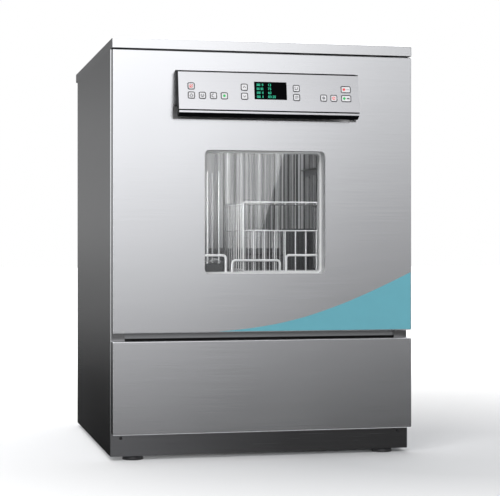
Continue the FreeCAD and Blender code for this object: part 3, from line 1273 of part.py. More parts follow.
def make_insert_basket():
    """Wire basket on the right half of the rack: a floor grid between four welded wall panels."""
    pitch, left, front = dim.basket_pitch, dim.basket_left, deep(dim.basket_front)
    cells, rows = int(dim.basket_cells.number), int(dim.basket_rows.number)
    right, back = left + pitch * dim.basket_cells, front + pitch * dim.basket_rows
    thick, thin = dim.floor_wire, dim.mesh_wire
    floor, rim = RACK_FLOOR + thick * 1.87, BASKET_RIM
    flat = thick * 0.87
    first, last, low, high = front + flat, back - flat, left + thick, right - thick
    panels = []
    for y in (front, back):
        wires = [wire("basket_cross", radius, right - left, left, y, level, "+x")
                 for level, radius in ((floor, thick), (BASKET_BELT, thin), (rim, thick))]
        for i in range(cells + 1):
            radius, top = (thick, rim) if i in (0, cells) else (thin, BASKET_BELT)
            wires.append(wire("basket_post", radius, top - floor, left + i * pitch, y, floor))
        panels.append(join("basket_wall", wires))
    for x in (left, right):
        wires = [wire("basket_long", radius, last - first, x, first, level, "+y")
                 for level, radius in ((floor, thick), (BASKET_BELT, thin), (rim, thick))]
        for i in range(1, rows):
            wires.append(wire("basket_side_post", thin, rim - floor, x, front + i * pitch, floor))
        panels.append(join("basket_side", wires))
    wires = [wire("basket_floor_wire", thin, last - first, left + i * pitch, first, floor, "+y")
             for i in range(1, cells)]
    for i in range(2, rows, 2):
        wires.append(wire("basket_floor_cross", thin, high - low, low, front + i * pitch, floor, "+x"))
    panels.append(join("basket_floor", wires))
    keep("insert_basket", group("insert_basket", panels))


def make_rack_injectors():
    """Two ducts with pairs of injector tubes and the nose that docks at the rear wall."""
    z0 = RACK_FLOOR + dim.floor_wire
    z1 = z0 + dim.duct_height
    front = deep(dim.rack_front + 8)
    back = deep(dim.rack_back - 16)
    half = dim.duct_width / 2
    parts = []
    for duct in range(2):
        middle = -dim.duct_side - duct * dim.duct_pitch
        parts.append(box("duct", middle - half, middle + half, front, back, z0, z1))
        for row in range(int(dim.injector_rows.number)):
            y = front + 6 + row * dim.injector_pitch
            for side in (-1, 1):
                x = middle + side * dim.injector_spread / 2
                parts.append(wire("injector", dim.injector_radius, INJECTOR_TOP - z1, x, y, z1, "+z", 8))
    parts.append(box("cross_duct", -dim.duct_side - dim.duct_pitch + half, 20, back - 30, back, z0, z1))
    level = z0 + dim.duct_height / 2
    parts.append(cylinder("dock_nose", dim.duct_height / 2 - 1.5, deep(dim.chamber_back - 28) - back, 0, back, level,
                          "+y"))
    keep("rack_injectors", join("rack_injectors", parts))


make_base_frame()
make_levelling_feet()
make_side_panel("left_side_panel", -1)
make_side_panel("right_side_panel", 1)
make_rear_panel()
make_countertop()
make_front_frame()
make_plinth()
make_panel_screws()
make_service_panel()
make_wash_chamber()
make_door_gasket()
make_rack_rails()
make_wash_manifold()
make_spray_arm("lower_spray_arm", LOWER_ARM)
make_spray_arm("upper_spray_arm", UPPER_ARM)
make_sump()
make_sump_filter()
make_heater()
make_circulation_pump()
make_drain_pump()
make_drain_outlet()
make_inlet_valves()
make_cable_gland()
make_control_box()
make_dosing_pumps()
make_door_lock()
make_door_skin()
make_grip_recess()
make_door_inner_panel()
make_window()
make_hinge_brackets()
make_hinge_leaves()
make_lock_strike()
make_fascia_housing()
make_fascia_face()
make_rack_frame()
make_insert_basket()
make_rack_injectors()

doc.recompute()

faults = [item.Name + " " + str(item.State) for item in doc.Objects
          if "Invalid" in item.State or "Error" in item.State]
for node, thing in nodes.items():
    shape = thing.Shape
    if shape.isNull() or not shape.isValid() or not shape.Solids:
        faults.append(node + " has no valid solid")
if faults:
    raise RuntimeError("; ".join(faults))

os.makedirs("parts", exist_ok=True)
for node, thing in nodes.items():
    thing.Shape.exportStep(os.path.join("parts", node + ".step"))
print(len(nodes), "nodes written")
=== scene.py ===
import math

import bmesh
import bpy
from mathutils import Matrix, Vector


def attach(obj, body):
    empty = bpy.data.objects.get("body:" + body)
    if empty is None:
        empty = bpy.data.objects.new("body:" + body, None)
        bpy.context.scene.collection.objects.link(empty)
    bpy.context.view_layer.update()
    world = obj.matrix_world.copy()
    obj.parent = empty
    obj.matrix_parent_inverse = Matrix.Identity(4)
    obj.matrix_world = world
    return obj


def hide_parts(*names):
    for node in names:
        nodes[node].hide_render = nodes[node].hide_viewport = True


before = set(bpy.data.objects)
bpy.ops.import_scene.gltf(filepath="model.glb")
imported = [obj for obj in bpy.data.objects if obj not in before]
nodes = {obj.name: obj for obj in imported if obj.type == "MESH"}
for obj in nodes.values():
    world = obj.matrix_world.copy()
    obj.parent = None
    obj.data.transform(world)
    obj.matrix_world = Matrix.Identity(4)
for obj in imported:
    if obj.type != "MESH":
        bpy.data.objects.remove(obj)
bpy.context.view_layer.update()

# Looks of the glassware washer, in metres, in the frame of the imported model. Numbers for pieces are in
# millimetres. FRONT is the plane of the door face. Depths count backwards from it, heights from the floor.

MM = 0.001
FRONT = -363.5 * MM
scene = bpy.context.scene


def at(x, depth, z):
    """Point from millimetres: right of the middle, behind the door face, above the floor."""
    return Vector((x * MM, FRONT + depth * MM, z * MM))


# Materials

class Shader:
    """A material, new by its name or one made before, with its nodes and main shader at hand."""

    def __init__(self, material):
        if isinstance(material, str):
            material = bpy.data.materials.new(material)
            material.use_nodes = True
        self.material = material
        self.nodes = material.node_tree.nodes
        self.links = material.node_tree.links
        self.bsdf = self.nodes["Principled BSDF"]
        self.output = self.nodes["Material Output"]

    def add(self, kind, **inputs):
        node = self.nodes.new(kind)
        for key, value in inputs.items():
            node.inputs[key.replace("_", " ")].default_value = value
        return node

    def link(self, source, target):
        self.links.new(source, target)

    def place(self, scale, shift=(0.0, 0.0, 0.0)):
        """Object coordinates stretched by a scale for each axis, then shifted."""
        coordinates = self.nodes.new("ShaderNodeTexCoord")
        mapping = self.nodes.new("ShaderNodeMapping")
        mapping.inputs["Scale"].default_value = scale
        mapping.inputs["Location"].default_value = shift
        self.link(coordinates.outputs["Object"], mapping.inputs["Vector"])
        return mapping.outputs["Vector"]

    def axes(self):
        """Object coordinates as three values."""
        split = self.nodes.new("ShaderNodeSeparateXYZ")
        self.link(self.place((1.0, 1.0, 1.0)), split.inputs[0])
        return split.outputs

    def noise(self, scale, detail, roughness=0.5):
        texture = self.nodes.new("ShaderNodeTexNoise")
        texture.inputs["Scale"].default_value = 1.0
        texture.inputs["Detail"].default_value = detail
        texture.inputs["Roughness"].default_value = roughness
        self.link(self.place(scale), texture.inputs["Vector"])
        return texture.outputs["Fac"]

    def spread(self, value, low, high, start=0.3, end=0.7):
        """Maps a value from start to end onto the range low to high."""
        ramp = self.nodes.new("ShaderNodeMapRange")
        for key, number in (("From Min", start), ("From Max", end), ("To Min", low), ("To Max", high)):
            ramp.inputs[key].default_value = number
        self.link(value, ramp.inputs["Value"])
        return ramp.outputs["Result"]

    def blend(self, factor, first, second):
        mix = self.nodes.new("ShaderNodeMix")
        mix.data_type = "RGBA"
        for index, value in ((6, first), (7, second)):
            if isinstance(value, tuple):
                mix.inputs[index].default_value = value
            else:
                self.link(value, mix.inputs[index])
        self.link(factor, mix.inputs[0])
        return mix.outputs[2]

    def cover(self, factor, level):
        """Lays a plain dark grey over the base colour where the factor is high: painted shade."""
        base = self.bsdf.inputs["Base Color"]
        source = base.links[0].from_socket
        self.link(self.blend(factor, source, (level, level, level * 1.03, 1.0)), base)

    def combine(self, operation, first, second):
        node = self.nodes.new("ShaderNodeMath")
        node.operation = operation
        for index, value in enumerate((first, second)):
            if isinstance(value, (int, float)):
                node.inputs[index].default_value = value
            else:
                self.link(value, node.inputs[index])
        return node.outputs[0]

    def bump(self, height, strength, distance=0.0002):
        node = self.nodes.new("ShaderNodeBump")
        node.inputs["Strength"].default_value = strength
        node.inputs["Distance"].default_value = distance
        self.link(height, node.inputs["Height"])
        self.link(node.outputs["Normal"], self.bsdf.inputs["Normal"])


def paint_forward_face_shade(material, level):
    """Paints shade on the faces that look forward, such as the folded returns behind the door."""
    s = Shader(material)
    split = s.nodes.new("ShaderNodeSeparateXYZ")
    geometry = s.nodes.new("ShaderNodeNewGeometry")
    s.link(geometry.outputs["True Normal"], split.inputs[0])
    s.cover(s.spread(split.outputs[1], 1.0, 0.0, -0.95, -0.80), level)


def paint_shade_along_axis(material, axis, near, far, level):
    """Paints shade along an axis, a painted darkening in place of polished metal mirroring more and more of a
    dark surrounding.
    """
    s = Shader(material)
    s.cover(s.spread(s.axes()[axis], 0.0, 1.0, near, far), level)


def tone(color, factor):
    return tuple(min(1.0, channel * factor) for channel in color) + (1.0,)


def brushed(name, color, rough, grain, depth=0.12, swing=0.05):
    """Brushed metal whose grain runs along the axes with the small scale."""
    s = Shader(name)
    lines = s.noise(grain, 4.0, 0.6)
    patches = s.noise((2.2, 2.2, 2.2), 2.0)
    tint = s.blend(s.spread(lines, 0.0, 1.0), tone(color, 1 - swing), tone(color, 1 + swing))
    s.link(s.blend(s.spread(patches, 0.0, 0.35), tint, tone(color, 0.96)), s.bsdf.inputs["Base Color"])
    s.link(s.combine("ADD", s.spread(lines, rough * 0.9, rough * 1.12), s.spread(patches, -0.01, 0.015)),
           s.bsdf.inputs["Roughness"])
    s.bsdf.inputs["Metallic"].default_value = 1.0
    s.bump(lines, depth)
    return s.material


def plastic(name, color, rough, grain=0.25, scale=2500.0, shine=0.5, swing=0.07):
    """Moulded plastic with a fine spark-eroded grain and faint handling marks."""
    s = Shader(name)
    pores = s.noise((scale, scale, scale), 2.0)
    marks = s.noise((40.0, 40.0, 40.0), 4.0)
    tint = s.blend(s.spread(marks, 0.0, 1.0), tone(color, 1 - swing), tone(color, 1 + swing))
    s.link(tint, s.bsdf.inputs["Base Color"])
    s.link(s.spread(marks, rough - 0.05, rough + 0.06), s.bsdf.inputs["Roughness"])
    s.bsdf.inputs["Specular IOR Level"].default_value = shine
    s.bump(pores, grain, 0.0001)
    return s.material


def pane(name, tint):
    """Clear pane: straight-through light with a Fresnel reflection on top."""
    s = Shader(name)
    s.nodes.remove(s.bsdf)
    clear = s.add("ShaderNodeBsdfTransparent", Color=tint + (1.0,))
    shine = s.nodes.new("ShaderNodeBsdfGlossy")
    edge = s.add("ShaderNodeFresnel", IOR=1.25)
    smear = s.noise((14.0, 14.0, 5.0), 3.0)
    s.link(s.spread(smear, 0.001, 0.004), shine.inputs["Roughness"])
    mix = s.nodes.new("ShaderNodeMixShader")
    s.link(edge.outputs["Fac"], mix.inputs["Fac"])
    s.link(clear.outputs["BSDF"], mix.inputs[1])
    s.link(shine.outputs["BSDF"], mix.inputs[2])
    s.link(mix.outputs["Shader"], s.output.inputs["Surface"])
    return s.material


# grain: a small number along an axis draws the brush lines out that way
HORIZONTAL = (5.0, 5.0, 1600.0)
ALONG_X = (5.0, 1600.0, 1600.0)
UPRIGHT = (1400.0, 1400.0, 5.0)
DRAWN = (300.0, 300.0, 300.0)
SOFT_METAL = 0.25

steel = brushed("outer_steel", (0.757, 0.765, 0.793), 0.20, HORIZONTAL)
top_steel = brushed("worktop_steel", (0.778, 0.785, 0.808), 0.22, ALONG_X)
side_steel = brushed("side_steel", (0.755, 0.765, 0.785), 0.20, HORIZONTAL)
frame_metal = brushed("frame_steel", (0.62, 0.63, 0.64), 0.34, HORIZONTAL, 0.08)
rail_metal = brushed("rail_steel", (0.20, 0.205, 0.21), 0.34, ALONG_X, 0.05)
# painted shade: the front frame in the gap under the door is a darker copy of the frame steel
front_frame_shaded_metal = brushed("front_frame_steel_painted_shade", (0.29, 0.295, 0.305), 0.34, HORIZONTAL, 0.08)
# painted shade: the plinth is a darker copy of the steel, for a panel set back in shadow
plinth_shaded_metal = brushed("plinth_steel_painted_shade", (0.30, 0.303, 0.318), 0.24, HORIZONTAL)
reveal_metal = brushed("reveal_steel", (0.92, 0.92, 0.93), 0.42, UPRIGHT, 0.05)
wire_metal = brushed("wire_steel", (1.0, 1.0, 1.0), 0.25, DRAWN, 0.05)
rod_metal = brushed("rod_steel", (0.55, 0.555, 0.56), 0.25, DRAWN, 0.05)
# painted shade: the injector ducts are a dark copy of the rack steel, for the shade low in the chamber
duct_shaded_metal = brushed("duct_steel_painted_shade", (0.10, 0.102, 0.105), 0.35, ALONG_X, 0.05)
aluminium = brushed("fascia_aluminium", (0.77, 0.775, 0.805), 0.30, ALONG_X, 0.10, 0.03)
zinc = brushed("zinc_steel", (0.66, 0.66, 0.62), 0.38, (90.0, 90.0, 90.0), 0.10, 0.10)
brass = brushed("valve_brass", (0.78, 0.60, 0.30), 0.30, (700.0, 20.0, 20.0), 0.06)
black = plastic("black_plastic", (0.018, 0.018, 0.020), 0.42)
housing = plastic("housing_black", (0.0015, 0.0015, 0.002), 0.5, 0.15, shine=0.02)
grey = plastic("grey_plastic", (0.22, 0.23, 0.24), 0.5)
key_white = plastic("key_white", (0.62, 0.62, 0.635), 0.45, 0.12)
key_ring = plastic("key_ring", (0.02, 0.02, 0.025), 0.5, 0.1, shine=0.2)
rubber = plastic("gasket_rubber", (0.03, 0.03, 0.03), 0.65, 0.5, 1200.0)
seal = plastic("seal_rubber", (0.55, 0.56, 0.56), 0.6, 0.4, 1200.0)
motor = plastic("pump_enamel", (0.10, 0.12, 0.14), 0.45, 0.6, 700.0)
screen = plastic("display_black", (0.001, 0.001, 0.0015), 0.08, 0.02, 300.0, 0.03)
band_film = plastic("band_film", (0.100, 0.325, 0.392), 0.5, 0.04, 1500.0, swing=0.015)
glass = pane("clear_glass", (0.982, 0.984, 0.987))
icon_red = plastic("icon_red", (0.72, 0.06, 0.06), 0.5, 0.05)
icon_green = plastic("icon_green", (0.02, 0.42, 0.10), 0.5, 0.05)
icon_dark = plastic("icon_dark", (0.06, 0.06, 0.07), 0.5, 0.05)
icon_grey = plastic("icon_grey", (0.35, 0.36, 0.38), 0.5, 0.05)

# painted shade: the forward-looking returns of the side panels are darkened
paint_forward_face_shade(side_steel, 0.22)
# painted shade: rack wires and tubes turn darker further back from the door
for material, level in ((wire_metal, 0.10), (rod_metal, 0.08)):
    paint_shade_along_axis(material, 1, FRONT + 120 * MM, FRONT + 330 * MM, level)
    material.node_tree.nodes["Principled BSDF"].inputs["Metallic"].default_value = SOFT_METAL
# painted shade: the plinth turns darker towards the right
paint_shade_along_axis(plinth_shaded_metal, 0, -0.34, 0.06, 0.15)
# painted shadow: a black line along the foot of the front frame
paint_shade_along_axis(front_frame_shaded_metal, 2, 0.2885, 0.2870, 0.01)


def chamber_steel():
    """Bright tub sheet with upright rolling lines, a pale painted reflection, and painted shade darker towards
    the floor.
    """
    s = Shader("chamber_steel")
    dark_line, bright_line = (0.012, 0.0125, 0.013, 1.0), (0.85, 0.855, 0.86, 1.0)
    shade, painted_reflection_grey, foot = (0.13, 0.132, 0.135, 1.0), (0.62, 0.63, 0.64, 1.0), (0.10, 0.103, 0.108, 1.0)
    lines = s.noise((150.0, 34.0, 0.25), 8.0, 0.85)
    broad = s.noise((34.0, 22.0, 0.3), 2.0)
    fine = s.noise(UPRIGHT, 2.0)
    streaks = s.blend(s.spread(lines, 0.0, 1.0, 0.45, 0.56), dark_line, bright_line)
    upper = s.blend(s.spread(broad, 0.0, 0.6, 0.42, 0.60), streaks, shade)
    x, _, z = s.axes()
    # painted reflection: a pale field between two x values, up to a height
    inside = s.combine("MULTIPLY", s.spread(x, 0.0, 1.0, 0.098, 0.101), s.spread(x, 1.0, 0.0, 0.160, 0.163))
    painted_reflection_mask = s.combine("MULTIPLY", inside, s.spread(z, 1.0, 0.0, 0.553, 0.556))
    wall = s.blend(s.combine("MULTIPLY", painted_reflection_mask, 0.6), upper, painted_reflection_grey)
    # painted shade: a dark foot, which reaches higher on the right
    step = s.spread(x, 0.0, 0.055, 0.198, 0.202)
    above = s.spread(s.combine("SUBTRACT", z, step), 0.0, 1.0, 0.499, 0.503)
    s.link(s.blend(above, foot, wall), s.bsdf.inputs["Base Color"])
    s.link(s.spread(fine, 0.22, 0.34), s.bsdf.inputs["Roughness"])
    s.bsdf.inputs["Metallic"].default_value = SOFT_METAL
    s.bump(lines, 0.25, 0.0006)
    return s.material


def glow(name, color, strength):
    """Lit segments of the display, with a slight unevenness."""
    s = Shader(name)
    flicker = s.noise((900.0, 900.0, 900.0), 1.0)
    tint = s.blend(s.spread(flicker, 0.0, 1.0), tone(color, 0.8), tone(color, 1.15))
    s.link(tint, s.bsdf.inputs["Base Color"])
    s.link(tint, s.bsdf.inputs["Emission Color"])
    s.bsdf.inputs["Emission Strength"].default_value = strength
    return s.material


tub_steel = chamber_steel()
lit_green = glow("display_green", (0.02, 0.42, 0.25), 0.6)

PAINT = {
    steel: ["service_panel", "door_skin"],
    side_steel: ["left_side_panel", "right_side_panel"],
    plinth_shaded_metal: ["plinth_panel"],
    reveal_metal: ["window_frame", "grip_recess"],
    front_frame_shaded_metal: ["front_frame"],
    top_steel: ["countertop"],
    frame_metal: ["base_frame", "rear_panel", "door_inner_panel", "lower_spray_arm",
                  "upper_spray_arm", "wash_manifold", "sump_filter"],
    rail_metal: ["rack_rails"],
    tub_steel: ["wash_chamber"],
    wire_metal: ["rack_frame", "rack_deck", "insert_basket", "heater_element", "lock_bolt"],
    rod_metal: ["rack_injectors"],
    aluminium: ["fascia_plate", "fascia_trim"],
    zinc: ["control_box", "door_lock", "hinge_brackets", "hinge_leaves", "lock_strike"],
    brass: ["inlet_valves"],
    black: ["panel_screws", "cable_gland", "levelling_feet"],
    housing: ["fascia_housing"],
    grey: ["sump", "drain_pump", "drain_outlet", "dosing_pumps"],
    motor: ["circulation_pump"],
    rubber: ["door_gasket"],
    seal: ["glass_seals"],
    glass: ["outer_glass", "inner_glass"],
    screen: ["display_window"],
    key_white: [name for name in nodes if name.endswith("_key") or name.startswith("program_key")],
}
for material, names in PAINT.items():
    for name in names:
        nodes[name].data.materials.clear()
        nodes[name].data.materials.append(material)


# Piece builders

def piece(name, mesh, material, body):
    thing = bpy.data.objects.new(name, mesh)
    scene.collection.objects.link(thing)
    thing.data.materials.append(material)
    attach(thing, body)
    return thing


def mesh_of(name, build):
    """Mesh filled by a function that works on a bmesh."""
    work = bmesh.new()
    build(work)
    bmesh.ops.recalc_face_normals(work, faces=work.faces)
    mesh = bpy.data.meshes.new(name)
    work.to_mesh(mesh)
    work.free()
    return mesh


def prism(work, outline, lift, origin, across, up, out, hole=None):
    """Plate with an outline in a plane, standing out of it by a lift. A hole outline has as many points."""

    def spot(point, height):
        return work.verts.new(origin + across * point[0] + up * point[1] + out * height)

    low = [spot(point, 0.0) for point in outline]
    high = [spot(point, lift) for point in outline]
    count = len(outline)
    for i in range(count):
        j = (i + 1) % count
        work.faces.new((low[i], low[j], high[j], high[i]))
    if hole is None:
        work.faces.new(high)
        work.faces.new(low)
        return
    low_in = [spot(point, 0.0) for point in hole]
    high_in = [spot(point, lift) for point in hole]
    for i in range(count):
        j = (i + 1) % count
        work.faces.new((high[i], high[j], high_in[j], high_in[i]))
        work.faces.new((low[i], low[j], low_in[j], low_in[i]))
        work.faces.new((low_in[i], low_in[j], high_in[j], high_in[i]))


def rounded_outline(width, height, radius, steps=5):
    """Rounded rectangle about the origin, as a list of points."""
    points = []
    for corner in range(4):
        sx = 1 if corner in (0, 3) else -1
        sy = 1 if corner in (0, 1) else -1
        cx, cy = sx * (width / 2 - radius), sy * (height / 2 - radius)
        for i in range(steps + 1):
            angle = math.pi / 2 * (corner + i / steps)
            points.append((cx + radius * math.cos(angle), cy + radius * math.sin(angle)))
    return points


def bend_path(points, radius, closed=False, steps=6):
    """Polyline with its corners turned into arcs."""
    count = len(points)
    result = []
    for i, corner in enumerate(points):
        if not closed and i in (0, count - 1):
            result.append(corner)
            continue
        before, after = points[i - 1], points[(i + 1) % count]
        inward, outward = (before - corner).normalized(), (after - corner).normalized()
        half_turn = inward.angle(outward) / 2
        if half_turn > math.pi / 2 - 0.02:
            result.append(corner)
            continue
        reach = radius / math.tan(half_turn)
        centre = corner + (inward + outward).normalized() * (radius / math.sin(half_turn))
        first = corner + inward * reach - centre
        last = corner + outward * reach - centre
        for k in range(steps + 1):
            result.append(centre + first.slerp(last, k / steps).normalized() * radius)
    return result


def wires(name, paths, radius, material=wire_metal):
    """Round wires of the rack along polylines; each path is (points, closed)."""
    curve = bpy.data.curves.new(name, "CURVE")
    curve.dimensions = "3D"
    curve.bevel_depth = radius * MM
    curve.bevel_resolution = 3
    curve.use_fill_caps = True
    for points, closed in paths:
        spline = curve.splines.new("POLY")
        spline.points.add(len(points) - 1)
        for item, point in zip(spline.points, points):
            item.co = (*point, 1.0)
        spline.use_cyclic_u = closed
    return piece(name, curve, material, "rack")


# Colour band on the door: a film that follows a rising curve

BAND = [(-112, 304.6), (-50, 309.8), (18.8, 319.5), (70, 330.2), (117.9, 343.0),
        (184.8, 365.5), (235.2, 385.2), (286, 407.0), (330, 427.2), (364.3, 443.4)]
BAND_FOOT, FILM = 304.3, 0.12


def smooth_curve(points, steps=6):
    """Catmull-Rom curve through points."""
    padded = [points[0]] + points + [points[-1]]
    result = []
    for a, b, c, d in zip(padded, padded[1:], padded[2:], padded[3:]):
        for i in range(steps):
            t = i / steps
            result.append(tuple(0.5 * (2 * q + (r - p) * t + (2 * p - 5 * q + 4 * r - s) * t * t
                                       + (3 * q - p - 3 * r + s) * t ** 3)
                                for p, q, r, s in zip(a, b, c, d)))
    return result + [points[-1]]


def build_band(work):
    out = Vector((0, -1, 0)) * FILM * MM
    rows = []
    for x, z in smooth_curve(BAND):
        foot, crest = at(x, 0, BAND_FOOT), at(x, 0, z)
        rows.append([work.verts.new(p) for p in (foot, crest, foot + out, crest + out)])
    for left, right in zip(rows, rows[1:]):
        work.faces.new((left[2], right[2], right[3], left[3]))
        work.faces.new((left[0], right[0], right[2], left[2]))
        work.faces.new((left[1], right[1], right[3], left[3]))
        work.faces.new((left[0], right[0], right[1], left[1]))
    for end in (rows[0], rows[-1]):
        work.faces.new((end[0], end[1], end[3], end[2]))


piece("colour_band", mesh_of("colour_band", build_band), band_film, "door")


# Sloping face: x runs right, s runs down the slope, out points at the user

SINE = 16 / 97.3  # the face leans back by 16 over a run of 97.3
COSINE = math.sqrt(1 - SINE * SINE)
FACE = at(0, -37, 914.2)
ACROSS = Vector((1, 0, 0))
UP = Vector((0, SINE, COSINE))
OUT = Vector((0, -COSINE, SINE))


def on_face(x, run):
    return FACE + ACROSS * (x * MM) - UP * (run * MM)


KEYS = {
    "home_key": (-189, 34.3), "program_key_1": (-189, 56.3), "program_key_2": (-162.8, 56.3),
    "program_key_3": (-136.6, 56.3), "program_key_4": (-110.6, 56.3), "up_key": (-62, 34.3),
    "down_key": (-62, 56.3), "back_key": (64.3, 34.3), "enter_key": (64.3, 56.3), "door_key": (130.7, 56.3),
    "alarm_key": (155.8, 56.3), "stop_key": (186.3, 34.3), "start_key": (186.3, 56.3),
}
WIDE = ("stop_key", "start_key")
KEY_SIDE, WIDE_SIDE, KEY_PROUD = 17.0, 25.0, 0.8
# ring round the cap: how much narrower than the cap its two edges are, their corner radii, and its height
RING_OUTER, RING_INNER, OUTER_CORNER, INNER_CORNER, RING_LIFT = 0.2, 3.8, 3.9, 2.2, 0.15
ICON_LIFT, ICON_STEP = 0.12, 0.04


def scaled(points):
    return [(x * MM, y * MM) for x, y in points]


def disc(radius, centre=(0.0, 0.0), count=20):
    return [(centre[0] + radius * math.cos(2 * math.pi * i / count),
             centre[1] + radius * math.sin(2 * math.pi * i / count)) for i in range(count)]


def stroke(points, width):
    """Outline of a polyline of constant width."""
    left, right = [], []
    for i, point in enumerate(points):
        before = points[max(i - 1, 0)]
        after = points[min(i + 1, len(points) - 1)]
        dx, dy = after[0] - before[0], after[1] - before[1]
        length = math.hypot(dx, dy)
        nx, ny = -dy / length * width / 2, dx / length * width / 2
        left.append((point[0] + nx, point[1] + ny))
        right.append((point[0] - nx, point[1] - ny))
    return left + right[::-1]


def arc(radius, start, end, count=14):
    angles = [math.radians(start + (end - start) * i / count) for i in range(count + 1)]
    return [(radius * math.cos(a), radius * math.sin(a)) for a in angles]


ICONS = {
    "home_key": [(icon_red, stroke([(-4, -4), (4, 4)], 1.5)), (icon_red, stroke(arc(3.4, 100, 350), 1.5))],
    "program_key_1": [(icon_dark, stroke([(-4, -2.5), (0, 3.5), (4, -2.5)], 1.7)),
                      (icon_dark, stroke([(-3, -3.8), (3, -3.8)], 1.0))],
    "program_key_2": [(icon_dark, stroke(arc(3.3, -240, 60), 1.5)), (icon_grey, disc(1.6, (0, -0.6)))],
    "program_key_3": [(icon_dark, stroke(arc(3.8, 70, 290), 1.7))],
    "program_key_4": [(icon_green, disc(3.2))],
    "up_key": [(icon_dark, stroke([(-3.2, -1.6), (0, 2), (3.2, -1.6)], 1.6))],
    "down_key": [(icon_dark, stroke([(-3.2, 1.6), (0, -2), (3.2, 1.6)], 1.6))],
    "back_key": [(icon_dark, stroke(arc(3.2, 160, 420), 1.5)),
                 (icon_dark, [(-4.6, 3.4), (-1.2, 3.8), (-3.4, 0.6)])],
    "enter_key": [(icon_dark, stroke([(-3.6, 2.6), (3.2, 2.6), (3.2, -1.4), (-1.0, -1.4)], 1.4)),
                  (icon_dark, [(-4.2, -1.4), (-1.0, 0.9), (-1.0, -3.7)])],
    "door_key": [(icon_dark, disc(3.4)), (icon_grey, stroke([(-4.6, 0), (4.6, 0)], 1.2)),
                 (icon_grey, stroke([(0, -4.6), (0, 4.6)], 1.2))],
    "alarm_key": [(icon_red, stroke(arc(3.5, 0, 330), 1.5)), (icon_red, stroke([(0, 1.8), (0, -1.8)], 1.4))],
    "stop_key": [(icon_red, disc(3.3, (-4.6, 0))), (icon_grey, stroke([(1.5, 0), (8.6, 0)], 2.4))],
    "start_key": [(icon_green, [(-8.6, 0), (-4.6, 4.2), (-0.6, 0), (-4.6, -4.2)]),
                  (icon_dark, stroke([(2.2, 0), (8.4, 0)], 3.0))],
}

for key, (x, run) in KEYS.items():
    origin = on_face(x, run) + OUT * KEY_PROUD * MM
    width = WIDE_SIDE if key in WIDE else KEY_SIDE

    def build_ring(work):
        outer = scaled(rounded_outline(width - RING_OUTER, KEY_SIDE - RING_OUTER, OUTER_CORNER))
        inner = scaled(rounded_outline(width - RING_INNER, KEY_SIDE - RING_INNER, INNER_CORNER))
        prism(work, outer, RING_LIFT * MM, origin, ACROSS, UP, OUT, inner)

    piece(key + "_ring", mesh_of(key + "_ring", build_ring), key_ring, key)
    for index, (ink, outline) in enumerate(ICONS[key]):

        def build_icon(work):
            prism(work, scaled(outline), (ICON_LIFT + ICON_STEP * index) * MM, origin, ACROSS, UP, OUT)

        piece(key + "_icon_" + str(index), mesh_of(key + "_icon", build_icon), ink, key)


# Display: bars and numbers on the dark window, which lies a little below the sloping face

WINDOW_SINK, PRINT_LIFT, PRINT_HALF = -0.3, 0.08, 0.05
TEXTS = ("12", "75", "60", "03:35")
FIRST_ROW, ROW_STEP, NUMBER_PLACE, NUMBER_HEIGHT = 27.5, 9.6, -5.0, 8.6
# place and length of the bars in a row; the second row has other ones
BARS, OTHER_BARS, BAR_HEIGHT, BAR_CORNER = [(-27.5, 9.0), (-17.5, 3.2)], [(-28.5, 7.0), (-19.5, 6.6)], 0.9, 0.4


def display_number(name, text, run):
    curve = bpy.data.curves.new(name, "FONT")
    curve.body = text
    curve.size = NUMBER_HEIGHT * MM
    curve.extrude = PRINT_HALF * MM
    curve.align_y = "CENTER"
    thing = bpy.data.objects.new(name, curve)
    scene.collection.objects.link(thing)
    bpy.context.view_layer.update()
    mesh = bpy.data.meshes.new_from_object(thing)
    bpy.data.objects.remove(thing)
    turn = Matrix((ACROSS, UP, OUT)).transposed().to_4x4()
    origin = on_face(NUMBER_PLACE, run) + OUT * (WINDOW_SINK + PRINT_LIFT) * MM
    mesh.transform(Matrix.Translation(origin) @ turn)
    piece(name, mesh, lit_green, "door")


for row, text in enumerate(TEXTS):
    run = FIRST_ROW + ROW_STEP * row
    bars = OTHER_BARS if row == 1 else BARS

    def build_bars(work):
        for x, length in bars:
            for line in (-2.0, 0.0, 2.0):
                origin = on_face(x, run - line) + OUT * WINDOW_SINK * MM
                outline = scaled(rounded_outline(length, BAR_HEIGHT, BAR_CORNER))
                prism(work, outline, PRINT_LIFT * MM, origin, ACROSS, UP, OUT)

    piece("display_bars_" + str(row), mesh_of("display_bars", build_bars), lit_green, "door")
    display_number("display_number_" + str(row), text, run)


# Rack in round wire

LEFT, RIGHT, RACK_FRONT, RACK_BACK, DECK, RIM = -250, 250, 100, 596, 440, 484.5
RIM_STEP, HANDLE_HALF, HANDLE_TOP, BEND, POST_INSET = 76, 60, 472, 8, 9
RIM_WIRE, FLOOR_WIRE, MESH_WIRE, LATTICE_WIRE, TUBE = 3.0, 2.0, 1.4, 0.6, 2.2
FLOOR_PITCH, FLOOR_CROSSWIRES, SIDE_POSTS = 50, 5, 5


def line(a, b):
    return ([at(*a), at(*b)], False)


def loop(points, radius, closed=True):
    return (bend_path([at(*p) for p in points], radius * MM, closed), closed)


raised_rim = [(-RIM_STEP, RACK_FRONT, DECK), (-RIM_STEP, RACK_FRONT, RIM), (LEFT, RACK_FRONT, RIM),
              (LEFT, RACK_BACK, RIM), (RIGHT, RACK_BACK, RIM), (RIGHT, RACK_FRONT, RIM),
              (RIM_STEP, RACK_FRONT, RIM), (RIM_STEP, RACK_FRONT, DECK)]
floor_rim = [(LEFT, RACK_FRONT, DECK), (RIGHT, RACK_FRONT, DECK),
             (RIGHT, RACK_BACK, DECK), (LEFT, RACK_BACK, DECK)]
handle = [(-HANDLE_HALF, RACK_FRONT, DECK), (-HANDLE_HALF, RACK_FRONT, HANDLE_TOP),
          (HANDLE_HALF, RACK_FRONT, HANDLE_TOP), (HANDLE_HALF, RACK_FRONT, DECK)]
thick = [loop(raised_rim, BEND, False), loop(floor_rim, BEND), loop(handle, BEND, False)]

